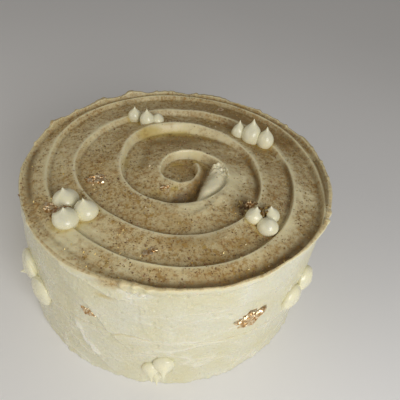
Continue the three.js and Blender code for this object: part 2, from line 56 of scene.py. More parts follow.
# The crest winds clockwise: its turn angle, and its distance from the centre as a share of the rim radius.
CREST_TRACK = [
    (-375, 0), (-200, 0.055), (-33, 0.112), (30, 0.145), (80, 0.172), (125, 0.15),
    (190, 0.112), (270, 0.16), (325, 0.245), (370, 0.335), (450, 0.368), (510, 0.37),
    (555, 0.395), (585, 0.462), (630, 0.512), (680, 0.51), (725, 0.535), (750, 0.583), (790, 0.622),
    (850, 0.61), (905, 0.675), (990, 0.71), (1080, 0.745), (1150, 0.848), (1205, 0.82),
    (1260, 0.84), (1295, 0.905), (1330, 0.93), (1380, 0.928), (1445, 0.93), (1470, LIP_EDGE / RIM_RADIUS),
]
TIP_FADE = 20.0
# Depth in mm of the channel that follows the crest, and the width of the steep climb before the crest.
DEPTH_TRACK = [
    (-375, 5.8), (-200, 5.8), (-90, 5.8), (-20, 6.5), (60, 7.5), (130, 5), (200, 4.4), (270, 5.6), (330, 4),
    (450, 3.2), (560, 3.6), (640, 3.8), (720, 3.2), (900, 2.7), (1060, 3), (1125, 3.3), (1160, 2.4),
    (1225, 1.6), (1290, 2.8), (1400, 3.4), (1470, 3),
]
CLIMB_TRACK = [
    (-33, 2), (60, 2.2), (150, 2.6), (270, 2.8), (380, 3), (450, 2.4), (540, 2.8), (590, 4.2), (630, 5.6),
    (680, 3.6), (810, 2.4), (900, 3), (990, 4), (1080, 2.6), (1170, 2.2), (1260, 2.6), (1350, 3.4), (1470, 2),
    (1510, 2), (1550, 4.5), (1600, 4.5), (1640, 2),
]
CLIMB_SHARE = 0.42  # most of a channel's width that its climb takes
# Slow wave of the crest in mm, then its hump at the back: turn angle, half width in degrees, rise in mm.
CREST_WAVE = 0.6
HUMP_TURN, HUMP_SPREAD, HUMP_RISE = 618, 62, 1.5
# The tongue where the knife left the cake: its turn angle, then its inner and outer edge as shares.
TONGUE_TRACK = [
    (-14, 0.236, 0.262), (-5, 0.212, 0.295), (8, 0.205, 0.315), (35, 0.21, 0.33), (48, 0.223, 0.337),
    (57, 0.25, 0.343), (64, 0.29, 0.349), (72, 0.34, 0.356),
]
TONGUE_HEIGHT, TONGUE_CREASE = 7.4, 0.8
TONGUE_BREAK, TONGUE_SINK = 0.1, 0.72  # where its broken end is full and where it begins to sink
# The lip in mm: how far down it reaches, where it stands out most, and how ragged it is.
LIP_DEPTH, LIP_BELLY, LIP_RAGGED = 7.5, 1.6, 0.9
# Lumps and high places of the lip: angle and half width in degrees, then rise and reach in mm.
LIP_LUMPS = [
    (115, 9, 2.2, 1), (130, 8, 1.3, 1), (155, 9, 1.2, 0.9), (76, 12, 1.1, 0.6), (97, 9, 1, 0.5),
    (181, 21, 0, -2.4), (205, 25, 0, -2.6), (231, 31, -2.2, -0.6), (315, 26, 1.5, -0.4), (330, 7, 1.4, 0.4),
    (258, 8, 0.8, 0.8), (284, 20, 0, -0.6), (20, 10, 0.7, 0.5),
]
SIDE_WAVE = 0.55
# The seam under the upper lap: its level as a share of the height, how far it swings and where it is
# highest. Then, in mm, how far the lap stands out, how high over its edge it is flat again, and where it
# starts to flatten.
SEAM_LEVEL, SEAM_SWING, SEAM_PEAK_ANGLE = 0.43, 0.08, 258.0
SEAM_STEP, SEAM_ROLL, SEAM_GAP = 1.5, 9.0, 1.3
LEAST_WIDTH = 1e-6  # mm, so that nothing is divided by zero

# ---- Mesh density -----------------------------------------------------------------------------
COLUMNS = 960  # columns in one turn
GENTLE_ROWS, CLIMB_ROWS = 20, 10  # rows from one crest to the next
CHANNEL_ROWS = GENTLE_ROWS + CLIMB_ROWS
# Rows of the side: depths under the lip's edge, then the wall's even rows, then heights in the foot.
LIP_ROWS = np.concatenate([np.arange(0.3, 6.2, 0.45), np.arange(6.3, 10.5, 0.6)])
WALL_DEPTH, WALL_ROWS, FOOT_TOP = 11.1, 116, 1.6
FOOT_ROWS = [1.1, 0.6, 0.2, 0.0]
RIM_ROWS = 1 + len(LIP_ROWS) + WALL_ROWS + len(FOOT_ROWS)
# The top is one strip of columns. It begins one turn before the crest does, so that it closes over the
# centre, and its last turn ends at the rim.
COLUMN_STEP = 360 / COLUMNS
CREST_START, STRIP_END = round(ANGLE_START / COLUMN_STEP), round(ANGLE_END / COLUMN_STEP)
STRIP_START, RIM_START = CREST_START - COLUMNS, STRIP_END - COLUMNS
STRIP_POINTS = (STRIP_END - STRIP_START) * CHANNEL_ROWS
# The UV map runs along the strokes: mm from a crest to its channel's middle, mm round the rim for each
# degree, and mm for one unit.
MID_CHANNEL, RIM_DEGREE, UV_LENGTH = 8, 1.8, 100

# ---- Piped drops, as in the part --------------------------------------------------------------
# Each drop: its place, its width and height in mm, its shape, and how far its tip leans in its own X and Y
# as a share of its height.
TOP_CLUSTERS = {
    "left": [
        (-0.637, -0.393, 15.5, 12.4, "peaked", -0.08, 0.06), (-0.504, -0.474, 14.6, 12, "peaked", -0.1, 0.05),
        (-0.598, -0.555, 15.4, 11, "peaked", -0.04, 0.03),
    ],
    "right": [
        (0.46, -0.446, 11, 10, "peaked", 0.05, 0.04), (0.562, -0.413, 11.6, 9.2, "peaked", -0.12, 0.05),
        (0.534, -0.513, 12.6, 9, "blunt", 0.02, -0.05),
    ],
    "back_left": [
        (-0.356, 0.583, 10, 10.5, "peaked", 0.02, 0.04), (-0.256, 0.522, 11.5, 13, "peaked", -0.04, 0.0),
        (-0.18, 0.54, 10, 8, "blunt", 0.06, 0.0),
    ],
    "back_right": [
        (0.424, 0.45, 10.5, 14, "peaked", 0.0, 0.04), (0.518, 0.408, 15, 19.5, "peaked", -0.03, 0.0),
        (0.614, 0.35, 12.5, 16, "peaked", -0.05, 0.02),
    ],
}
SIDE_CLUSTERS = {
    "side_left": [
        (211, 0.492, 22, 6.5, "pressed", 0.02, -0.05), (219.6, 0.398, 21, 6.5, "pressed", 0.0, -0.05),
        (209, 0.405, 12, 9.5, "spiked", 0.0, 0.05),
    ],
    "side_right": [
        (329, 0.55, 17, 7.5, "pressed", 0.02, -0.15), (320.3, 0.5, 19, 7, "pressed", 0.12, -0.05),
        (331, 0.475, 10, 7, "spiked", 0.0, -0.1),
    ],
    "side_front": [
        (266.5, 0.185, 10.5, 8.5, "spiked", 0.25, -0.5), (270.6, 0.24, 13, 9.5, "spiked", 0.1, -0.62),
        (268.7, 0.14, 9.5, 8.5, "spiked", 0.1, -0.4),
    ],
    "side_back": [
        (84, 0.61, 16, 8, "pressed", 0.05, -0.1), (93.5, 0.55, 17, 8, "pressed", 0.0, -0.1),
        (86, 0.45, 15, 9, "peaked", 0.05, -0.15),
    ],
    "side_back_left": [
        (146, 0.2, 12, 8.5, "spiked", 0.2, -0.4), (150.5, 0.26, 13.5, 9.5, "spiked", -0.1, -0.5),
        (153, 0.17, 12, 8.5, "spiked", -0.1, -0.4),
    ],
}
# How far a drop is pressed into the coat and how deep its root goes, in mm.
DROP_SEAT = 0.8
DROP_ROOT = 3.0

# ---- The top's finer relief, its dust, and its painted light and shade ------------------------
# Ridges and, below zero, hollows beside the crests: the path as pairs of turn angle and distance share,
# height in mm, width on the inner and on the outer side in mm.
TOP_RIDGES = [
    ([(36, 0.188), (55, 0.21), (69, 0.245), (82, 0.27), (100, 0.29)], -1.6, 4.0, 4.5),
    ([(38, 0.385), (50, 0.397), (58, 0.412), (68, 0.44), (82, 0.47)], 1.0, 1.5, 3.2),
    ([(52, 0.362), (75, 0.385), (92, 0.397), (108, 0.405)], 0.3, 0.6, 0.9),
    ([(64, 0.392), (84, 0.412), (100, 0.428)], 0.3, 0.6, 0.9),
    ([(75, 0.43), (92, 0.447), (106, 0.456)], 0.25, 0.6, 0.9),
    ([(118, 0.175), (150, 0.148), (180, 0.136), (205, 0.145), (230, 0.165), (262, 0.205)], 0.7, 0.8, 1.3),
    ([(150, 0.178), (178, 0.162), (205, 0.172), (235, 0.2), (262, 0.24)], 0.55, 0.8, 1.3),
    ([(170, 0.195), (200, 0.2), (230, 0.226), (255, 0.265)], 0.35, 0.8, 1.5),
    ([(205, 0.485), (215, 0.475), (228, 0.49), (240, 0.52)], 0.6, 1.0, 2.5),
    ([(145, 0.9), (160, 0.893), (176, 0.9)], 0.9, 0.8, 1.4),
    ([(340, 0.45), (352, 0.42), (362, 0.4), (375, 0.4)], 0.5, 1.5, 3.0),
    ([(-24, 0.117), (4, 0.124), (29, 0.147), (60, 0.172), (85, 0.18), (106, 0.166), (125, 0.155)],
     0.8, 0.7, 1.3),
    ([(68, 0.24), (80, 0.245), (95, 0.235)], 0.9, 3.5, 3.5),
    ([(-34, 0.2), (-5, 0.182), (25, 0.181), (49, 0.213), (63, 0.262), (82, 0.3)], -2.6, 2.8, 1.8),
    ([(60, 0.28), (85, 0.308), (96, 0.323), (107, 0.324), (128, 0.314)], -1.3, 3.6, 1.8),
]
# Folds where dust gathered, darkened as painted shade: paths in the same terms, strength, inner and outer
# width in mm.
BROWN_DUST_AND_SHADE_FOLDS = [
    ([(-26, 0.488), (-10, 0.495), (0, 0.503), (10, 0.527), (20, 0.548), (34, 0.57)], 1.0, 2.6, 0.9),
    ([(-14, 0.722), (0, 0.732), (10, 0.745), (20, 0.753), (32, 0.765)], 0.95, 2.2, 0.9),
    ([(-16, 0.95), (2, 0.948), (9, 0.953), (16, 0.962), (24, 0.968)], 1.0, 2.0, 1.8),
    ([(28, 0.93), (50, 0.945), (75, 0.948), (98, 0.952), (112, 0.95)], 0.85, 2.6, 1.8),
    ([(148, 0.925), (162, 0.925), (178, 0.94), (192, 0.95)], 0.9, 2.4, 2.0),
    ([(222, 0.36), (245, 0.345), (268, 0.33), (290, 0.35)], 0.7, 4.5, 4.5),
    ([(165, 0.22), (190, 0.235), (215, 0.27), (240, 0.31)], 0.45, 3.5, 3.5),
    ([(60, 0.64), (80, 0.655), (95, 0.66)], 0.35, 5.0, 4.0),
    ([(-30, 0.2), (-5, 0.178), (25, 0.175), (49, 0.204), (63, 0.259), (84, 0.3)], 1.0, 3.0, 2.6),
    ([(60, 0.28), (85, 0.306), (96, 0.321), (107, 0.321), (128, 0.311)], 0.9, 4.2, 1.6),
    ([(43, 0.76), (48, 0.785), (55, 0.79)], 0.7, 2.4, 2.0),
    ([(26, 0.5), (34, 0.505), (42, 0.51), (50, 0.52)], 0.75, 5.0, 4.0),
    ([(36, 0.188), (55, 0.21), (69, 0.245), (82, 0.27), (100, 0.29)], 0.95, 4.5, 5.0),
    ([(245, 0.428), (262, 0.412), (278, 0.412), (300, 0.44), (325, 0.45)], 0.6, 3.0, 2.4),
]
# Painted yellow shade in creases and under thick folds, in the same terms.
YELLOW_SHADE_FOLDS = [
    ([(222, 0.452), (238, 0.455), (256, 0.462), (284, 0.47)], 1.0, 3.2, 1.4),
    ([(286, 0.46), (296, 0.45), (306, 0.455)], 0.8, 2.6, 2.0),
    ([(176, 0.352), (186, 0.356), (200, 0.372)], 0.7, 2.4, 1.0),
    ([(86, 0.215), (94, 0.212), (101, 0.22)], 1.0, 1.8, 1.8),
    ([(106, 0.27), (116, 0.265), (128, 0.28)], 0.5, 3.0, 3.0),
    ([(-62, 0.17), (-45, 0.165), (-28, 0.17), (-12, 0.19), (0, 0.2)], 0.7, 3.0, 3.0),
    ([(225, 0.07), (262, 0.08), (300, 0.08)], 0.6, 2.5, 2.5),
    ([(226, 0.5), (240, 0.46), (256, 0.44), (272, 0.428), (290, 0.44)], 1.0, 3.0, 3.0),
]
# Where the knife wiped the dust away, in the same terms. The first, beside the tongue, also stands for a
# painted highlight on its glossy slope.
BARE_STREAKS = [
    ([(-22, 0.33), (8, 0.342), (45, 0.38), (70, 0.405), (92, 0.375), (110, 0.375)], 0.85, 4.0, 5.5),
    ([(-10, 0.54), (10, 0.57), (30, 0.6)], 0.5, 3.0, 4.0),
]
# Bare and dusty places on the top: turn angle, distance share, half width in mm and the change of the cover.
DUST_PATCHES = [
    (128, 0.88, 28, -0.6), (105, 0.86, 18, -0.3), (14, 0.83, 14, -0.3), (345, 0.83, 22, -0.25),
    (42, 0.56, 12, 0.2), (60, 0.75, 12, 0.2), (118, 0.6, 14, 0.15), (75, 0.82, 12, 0.2),
    (92, 0.86, 9, 0.3), (150, 0.85, 12, 0.25), (20, 0.66, 14, 0.2), (-60, 0.06, 15, 0.5),
    (8, 0.42, 16, -0.45), (75, 0.3, 16, -0.15), (30, 0.4, 12, -0.35), (40, 0.8, 18, -0.4),
    (196, 0.9, 24, -0.3), (215, 0.7, 22, -0.2), (180, 0.8, 32, -0.3), (200, 0.62, 18, -0.2),
    # The dustier places below, at the back right, also stand in for painted shade there.
    (-40, 0.75, 34, 0.45), (-25, 0.62, 18, 0.35), (-20, 0.85, 22, 0.3), (-62, 0.85, 24, 0.25),
]
# How thickly the dust lies on the whole, and how far its clouds and clots change that.
MEAN_COVER, CLOUD_CHANGE, CLOT_CHANGE = 0.66, 0.16, 0.2
# The edge's dust also takes a little of the painted shade that darkens the dust towards the back right.
EDGE_DUST, EDGE_DUST_SHADE = 0.5, 0.2  # on the lip's edge: how much dust lies there, and how dark it is
TIP_BLEND = 15  # degrees on each side of the tip over which the crest sheds its dust
# Bare walls and slopes are paler; that they are barest where they face the front and the right is painted
# light.
FRONT_WALLS, RIGHT_SLOPES = -118, 12  # turn angles where the walls and the slopes are barest
# Heights in mm of the top's relief: lines of the stroke, slow swells, grain, and on the tongue its crinkles
# and drawn-out lines.
STROKE_LINE, TOP_SWELL, TOP_GRAIN, CRINKLE, DRAWN_LINE = 0.17, 0.38, 0.07, 2.6, 0.5
CREST_FADE = 1.5  # mm from a crest over which that relief fades
PATH_FADE = 0.22  # share of a listed path over which it fades at each end

# ---- The side's finer relief ------------------------------------------------------------------
# Small crumbs of the lip, finer than the part's own lumps, in the same terms.
LIP_CRUMBS = [
    (115.5, 2.5, 1.3, 1.0), (128, 2.2, 0.9, 1.2), (156.5, 2.4, 0.8, 1.2), (187, 1.5, 0.4, 0.8),
    (333, 1.8, 1.7, 0.9), (338.5, 2.4, 0.4, 1.0), (256.5, 1.6, 0.9, 1.6), (260, 1.2, 0.8, 1.2),
    (264, 1.8, 0.7, 1.2), (52, 2.4, 0.8, 0.7), (292, 3, 0.4, 0.4), (143, 2, 0.9, 1.1), (8, 1.8, 0.6, 0.7),
    (84, 1.6, 0.7, 0.5), (103, 1.8, 0.9, 0.6), (171, 1.6, 0.7, 0.9), (215, 2.2, 0.4, 0.8),
    (36, 1.5, 0.6, 0.6),
]
# Height of the lip's finest crumble in mm, and the stretch that crumbled least.
LIP_CRUMBLE = 0.5
SMOOTH_LIP_ANGLE, SMOOTH_LIP_SPREAD, SMOOTH_LIP_LOSS = 231, 36, 0.38
CRUMBLED_ANGLE = 259  # where the front of the lip crumbled down the side
SPILL_ANGLE, SPILL_DUST = 253, 0.6  # where dust spilled over the rim, and how much
SHADED_ANGLE, SHADED_LEVEL = 250.5, 0.828  # the shade under the high ridge beside it
# Ridges left by the knife: the path as angle and level pairs, height in mm, width on the sharp side and
# on the soft side in mm.
SIDE_RIDGES = [
    ([(239.5, 0.39), (240.6, 0.346), (241.7, 0.284), (243.7, 0.246), (245.7, 0.217)], 1.3, 0.8, 6),
    ([(245.7, 0.217), (248, 0.141), (252, 0.07)], 0.7, 0.9, 6),
    ([(246, 0.64), (251.6, 0.518), (253.3, 0.462), (255.7, 0.41)], 0.9, 0.9, 8),
    ([(236, 0.94), (242, 0.915), (247.6, 0.875), (252, 0.85), (255, 0.84)], 1.5, 1.3, 3.4),
    ([(262, 0.73), (262.4, 0.66), (263.5, 0.6), (265.4, 0.553)], 0.5, 0.9, 9),
    ([(262, 0.34), (266, 0.355), (272, 0.35)], 0.5, 0.9, 5),
    ([(281, 0.85), (289, 0.8), (298, 0.79), (306, 0.82)], 0.5, 1.0, 8),
    ([(222, 0.93), (229, 0.86), (236, 0.76), (243, 0.7)], 0.45, 0.8, 6),
    ([(228, 0.52), (236, 0.44), (239.5, 0.39)], 0.5, 0.9, 7),
    ([(20, 0.9), (24, 0.5), (31, 0.3)], 0.7, 1.0, 8),
    ([(60, 0.3), (75, 0.36), (92, 0.3)], 0.8, 1.0, 7),
    ([(120, 0.8), (128, 0.66), (143, 0.6)], 0.8, 1.0, 8),
    ([(176, 0.75), (184, 0.5), (187, 0.25)], 0.7, 1.0, 8),
    ([(345, 0.25), (356, 0.32), (8, 0.3)], 0.6, 1.0, 6),
]
# Heights in mm of the rest of the side's relief.
FACET, SIDE_SWELL, STROKE_RIDGE, STREAK, SIDE_GRAIN = 0.5, 0.2, 0.55, 0.13, 0.08
CRUMB, PIT, FOOT_CRUMB = 3.4, 1.6, 0.7
MEAN_RELIEF = 0.4  # taken off again, so that the wall keeps its radius
TORN_EDGE, SEAM_GROOVE = 0.9, 1.1  # how torn the seam's edge is, and the groove under it

# ---- Colours ----------------------------------------------------------------------------------
CREAM = "E1DEC6"
CREAM_DEEP = "DDD6AE"
CREAM_DUSTED = "EADFB4"
PIPED_IVORY = "F6F0CC"
# Painted highlight on ridges, crests, crumbs and the tongue: pale on the side, warm on the top.
PAINTED_HIGHLIGHT_PALE = "F8F5E6"
PAINTED_HIGHLIGHT_WARM = "F4EAC6"
DUST_HAZE = "C4A76C"
# The dust in painted shade, towards the right and the back.
DUST_IN_PAINTED_SHADE = "7E6430"
DUST_ROSE = "9A6842"
DUST_GOLD = "B0923A"
DUST_DARK = "5E4426"
# Brown of the dust in the folds, with painted shade.
BROWN_DUST_AND_PAINTED_SHADE = "6C5220"
# Painted yellow shade in creases, and painted glow round the drops' feet.
PAINTED_YELLOW_SHADE_AND_GLOW = "C4A83C"
SPECK_PALE = "F6F4E8"
SPECK_GREY = "B9B294"
FLOOR_GREY = "F2F1F1"
FLOOR_PALE = "F5F4F4"


# ---- Repeatable unevenness --------------------------------------------------------------------
def lattice(ix, iy, iz, seed):
    """Scrambled whole numbers of a lattice point, as a share from 0 to 1."""
    mixed = (ix * 374761393 + iy * 668265263 + iz * 1440662683 + seed * 1274126177) & 0xFFFFFFFF
    mixed = ((mixed ^ (mixed >> 13)) * 1274126177) & 0xFFFFFFFF
    return ((mixed ^ (mixed >> 16)) & 0xFFFFFF) / 0xFFFFFF


def smooth_noise(x, y, z, seed):
    """Lattice shares blended across each cell with smooth weights, from -1 to 1."""
    cells = [np.floor(axis).astype(np.int64) for axis in (x, y, z)]
    weights = []
    for axis, cell in zip((x, y, z), cells):
        inside = axis - cell
        weights.append(inside * inside * (3 - 2 * inside))
    total = 0.0
    for corner in range(8):
        steps = [(corner >> bit) & 1 for bit in range(3)]
        share = 1.0
        for step, weight in zip(steps, weights):
            share = share * (weight if step else 1 - weight)
        total = total + share * lattice(*(c + s for c, s in zip(cells, steps)), seed)
    return 2 * total - 1


def uneven(x, y, z, size, seed, octaves=3):
    """Smooth noise with cells of a size in mm, plus finer octaves of half the size and strength."""
    total, strength = 0.0, 1.0
    for octave in range(octaves):
        scale = 2.0 ** octave / size
        total = total + strength * smooth_noise(x * scale, y * scale, z * scale, seed + octave)
        strength *= 0.5
    return total


def smoothstep(value, low, high):
    """0 below the low value and 1 above the high one, with a cubic between."""
    share = np.clip((value - low) / (high - low), 0, 1)
    return share * share * (3 - 2 * share)


def mix(a, b, share):
    """The first value at a share of 0 and the second at 1."""
    return a + (b - a) * share


def bump(distance, half_width):
    """1 at the middle and 0 beyond the half width."""
    return 1 - smoothstep(np.abs(distance), 0, half_width)


def turn_gap(degrees, centre):
    """Shortest turn from the centre to an angle, in degrees."""
    return (degrees - centre + 180) % 360 - 180


def on_ring(degrees, radius):
    """X and Y at an angle and a distance from the axis."""
    angle = np.radians(degrees)
    return radius * np.cos(angle), radius * np.sin(angle)


def wave(angle, phase):
    """Sum of four sines of an angle in radians at whole frequencies, as in the part."""
    return (0.45 * np.sin(3 * angle + phase) + 0.3 * np.sin(7 * angle + 2.3 * phase)
            + 0.2 * np.sin(13 * angle + 4.1 * phase) + 0.15 * np.sin(22 * angle + 5.7 * phase))


# ---- The knife's spiral -----------------------------------------------------------------------
def along_track(track, clockwise):
    """Value of a track at a turn angle: a cubic through its knots, whose slope at a knot is the mean of
    the slopes on its two sides."""
    at, value = np.array(track, float).T
    rise = np.diff(value) / np.diff(at)
    slope = np.concatenate((rise[:1], (rise[1:] + rise[:-1]) / 2, rise[-1:]))
    turn = np.clip(clockwise, at[0], at[-1])
    i = np.clip(np.searchsorted(at, turn, side="right") - 1, 0, len(at) - 2)
    span = at[i + 1] - at[i]
    p = (turn - at[i]) / span
    return ((2 * p**3 - 3 * p**2 + 1) * value[i] + (p**3 - 2 * p**2 + p) * span * slope[i]
            + (3 * p**2 - 2 * p**3) * value[i + 1] + (p**3 - p**2) * span * slope[i + 1])


def crest_radius(clockwise):
    """Distance of the crest from the centre."""
    return along_track(CREST_TRACK, clockwise) * RIM_RADIUS


def inner_radius(clockwise):
    """Distance to the crest inside a channel, or to the centre where the crest hasn't begun."""
    return np.where(clockwise < ANGLE_START, 0, crest_radius(clockwise))


def outer_radius(clockwise):
    """Distance to the crest outside a channel, which is one turn on, or to the lip's edge."""
    return np.where(clockwise + 360 >= ANGLE_END, LIP_EDGE, crest_radius(clockwise + 360))


def channel_width(clockwise):
    """Width from crest to crest, never quite nothing."""
    return np.maximum(outer_radius(clockwise) - inner_radius(clockwise), LEAST_WIDTH)


def channel_depth(clockwise):
    """Depth of the channel that follows the crest."""
    return along_track(DEPTH_TRACK, clockwise)


def climb_run(clockwise, width):
    """Width of the steep climb to the channel's outer crest."""
    return np.minimum(along_track(CLIMB_TRACK, clockwise + 360), CLIMB_SHARE * width)


def crest_height(clockwise):
    """Height of the crest over its plane: a slow wave and one hump, which rise from the channel's floor
    at the tip."""
    share = smoothstep(clockwise, ANGLE_TIP - TIP_FADE / 2, ANGLE_TIP + TIP_FADE)
    height = CREST_WAVE * wave(np.radians(clockwise) * 0.83, 1.7)
    height = height + HUMP_RISE * bump(clockwise - HUMP_TURN, HUMP_SPREAD)
    return mix(-channel_depth(clockwise), height, share)


def lip_height(degrees):
    """Ragged height of the lip's edge: the part's wave, the listed lumps and a fine crumble."""
    height = LIP_RAGGED * wave(np.radians(degrees), 0.6)
    for centre, half_width, rise, _ in LIP_LUMPS + LIP_CRUMBS:
        height = height + rise * bump(turn_gap(degrees, centre), half_width)
    x, y = on_ring(degrees, RIM_RADIUS)
    smoothed = bump(turn_gap(degrees, SMOOTH_LIP_ANGLE), SMOOTH_LIP_SPREAD)
    return height + (LIP_CRUMBLE - SMOOTH_LIP_LOSS * smoothed) * uneven(x, y, 0 * x, 4.5, 11)


def tongue_height(clockwise, radius):
    """The thick tongue where the knife left the cake: half an ellipse that on its outer side falls only
    to a crease by the crest. It rises steeply at its broken end and sinks slowly at the other."""
    turn, inner, outer = (np.array(column, float) for column in zip(*TONGUE_TRACK))
    low = np.interp(clockwise, turn, inner) * RIM_RADIUS
    high = np.interp(clockwise, turn, outer) * RIM_RADIUS
    along = np.clip((clockwise - turn[0]) / (turn[-1] - turn[0]), 0, 1)
    ends = smoothstep(along, 0, TONGUE_BREAK) * (1 - smoothstep(along, TONGUE_SINK, 1))
    aside = np.clip((2 * radius - low - high) / (high - low), -1, 1)
    aside = np.where(aside > 0, TONGUE_CREASE * aside, aside)
    return TONGUE_HEIGHT * ends * np.sqrt(1 - aside**2)


def channel_height(clockwise, distance):
    """Height across one channel: a gentle fall outwards from the inner crest, then a steep climb."""
    width = channel_width(clockwise)
    low = crest_height(clockwise)
    high = np.where(clockwise + 360 >= ANGLE_END, lip_height(-clockwise), crest_height(clockwise + 360))
    floor = mix(np.minimum(low, high), -channel_depth(clockwise), smoothstep(width, 1, 12))
    steep = climb_run(clockwise, width)
    gentle = width - steep
    fall = np.sin(0.5 * np.pi * np.clip(distance / gentle, 0, 1)) ** 1.3
    climb = smoothstep(distance - gentle, 0, steep)
    height = np.where(distance < gentle, mix(low, floor, fall), mix(floor, high, climb))
    return np.maximum(height, floor + tongue_height(clockwise, inner_radius(clockwise) + distance))


def stripe(clockwise, radius, path, inward, outward):
    """1 along a path over the top, fading on its inner and outer side and at both ends."""
    turn, share = (np.array(column, float) for column in zip(*path))
    middle = (turn[0] + turn[-1]) / 2
    at = middle + turn_gap(clockwise, middle)
    off = radius - np.interp(at, turn, share) * RIM_RADIUS
    end = PATH_FADE * (turn[-1] - turn[0])
    inside = smoothstep(at, turn[0], turn[0] + end) * (1 - smoothstep(at, turn[-1] - end, turn[-1]))
    return inside * np.exp(-(off / np.where(off < 0, inward, outward)) ** 2)


def knife_marks(clockwise, distance):
    """Fine relief of the channels: lines along the stroke, slow swells and grain, which fade out at
    both crests so that neighbouring turns meet, the ridges beside the crests, and the tongue's own
    crinkles and drawn-out lines."""
    radius = inner_radius(clockwise) + distance
    x, y = on_ring(-clockwise, radius)
    to_next = channel_width(clockwise) - distance
    inside = smoothstep(distance, 0, CREST_FADE) * smoothstep(to_next, 0, CREST_FADE)
    strong = 0.5 + 0.5 * uneven(x, y, 0 * x, 26, 31, 2)
    lines = uneven(distance, clockwise * 0.05, 0 * x, 1.9, 21, 2) * STROKE_LINE * np.clip(strong, 0, 1)
    swell = uneven(x, y, 0 * x, 17, 41, 3) * TOP_SWELL
    grain = uneven(x, y, 0 * x, 2.2, 51, 2) * TOP_GRAIN
    ridges = sum(tall * stripe(clockwise, radius, path, *sides) for path, tall, *sides in TOP_RIDGES)
    tongue = smoothstep(tongue_height(clockwise, radius), 0, 2)
    creased = np.abs(uneven(x, y, 0 * x, 3.0, 55, 2)) * CRINKLE - 0.8
    crinkles = tongue * bump(clockwise, 26) * creased
    drawn = tongue * uneven(radius * 0.5, clockwise * 0.08, 0 * x, 1.4, 57, 2) * DRAWN_LINE
    return inside * (lines + swell + grain) + ridges * (1 - tongue) + crinkles + drawn


def crest_plane(x, y):
    """The tilted plane that the crests touch, about the middle of the top."""
    return CAKE_HEIGHT + TILT[0] * (x + LEAN[0]) + TILT[1] * (y + LEAN[1])


def top_points(clockwise, distance):
    """Points of the top at a turn angle and a distance out from its inner crest."""
    x, y = on_ring(-clockwise, inner_radius(clockwise) + distance)
    z = crest_plane(x, y) + channel_height(clockwise, distance) + knife_marks(clockwise, distance)
    return np.stack([x + LEAN[0], y + LEAN[1], z], -1)


def channel_at(x, y):
    """The channel that each place on the top lies in: its turn angle and distance from its crest."""
    radius = np.hypot(x, y)
    clockwise = np.degrees(np.arctan2(-y, x)) % 360 - 720
    for _ in range(6):
        further = (clockwise + 360 < ANGLE_END) & (crest_radius(clockwise + 360) < radius)
        clockwise = np.where(further, clockwise + 360, clockwise)
    return clockwise, radius - inner_radius(clockwise)


def top_surface(share_x, share_y):
    """The point of the coat over a place given as shares of the rim radius."""
    clockwise, distance = channel_at(np.atleast_1d(share_x * RIM_RADIUS), np.atleast_1d(share_y * RIM_RADIUS))
    return top_points(clockwise, distance)


# ---- The side ---------------------------------------------------------------------------------
def seam_level(angle):
    """Level of the seam as a share of the height: a cosine with two highs round the cake."""
    return SEAM_LEVEL + SEAM_SWING * np.cos(2 * (angle - np.radians(SEAM_PEAK_ANGLE)))


def round_side(degrees, start):
    """Distance round the side from one angle to another, in mm."""
    return turn_gap(degrees, start) * math.radians(1) * WALL_RADIUS_TOP


def ridge_relief(degrees, height):
    """Ridges along their paths: each falls off quickly on its right-hand side and slowly on its left."""
    relief = np.zeros_like(height)
    for path, tall, sharp, soft in SIDE_RIDGES:
        start = path[0][0]
        s = round_side(degrees, start)
        knots = np.array([(round_side(angle, start), level * CAKE_HEIGHT) for angle, level in path])
        near = np.full(height.shape, np.inf)
        sided = np.zeros(height.shape)
        for a, b in zip(knots[:-1], knots[1:]):
            run = b - a
            share = np.clip(((s - a[0]) * run[0] + (height - a[1]) * run[1]) / (run @ run), 0, 1)
            off_s, off_z = s - a[0] - share * run[0], height - a[1] - share * run[1]
            gap = np.hypot(off_s, off_z)
            closer = gap < near
            near = np.where(closer, gap, near)
            sided = np.where(closer, run[0] * off_z - run[1] * off_s, sided)
        width = np.where(sided < 0, sharp, soft)
        relief += tall * np.exp(-((near / width) ** 1.6))
    return relief


def knife_strokes(degrees, height):
    """Thin ridges where strokes of the knife meet: the zero lines of a noise stretched round the cake."""
    x, y = on_ring(degrees, WALL_RADIUS_TOP)
    bent = height * 2.4 + 8 * uneven(x, y, height, 30, 75, 2)
    here = 0.5 + 0.5 * uneven(x, y, height, 28, 77, 2)
    lines = np.clip(1 - 3.2 * np.abs(uneven(x, y, bent, 26, 85, 3)), 0, 1) ** 2
    return lines * np.clip(here * 1.5 - 0.2, 0, 1)


def seam_gap(degrees, height, top):
    """Height above the torn edge of the upper lap, and how strongly the lap stands out there."""
    angle = np.radians(degrees)
    torn = TORN_EDGE * uneven(*on_ring(degrees, RIM_RADIUS), height, 5, 121, 3)
    strength = 0.6 + 0.4 * wave(angle, 5.2) + 0.5 * bump(turn_gap(degrees, 271), 26)
    return height - seam_level(angle) * top - torn, strength


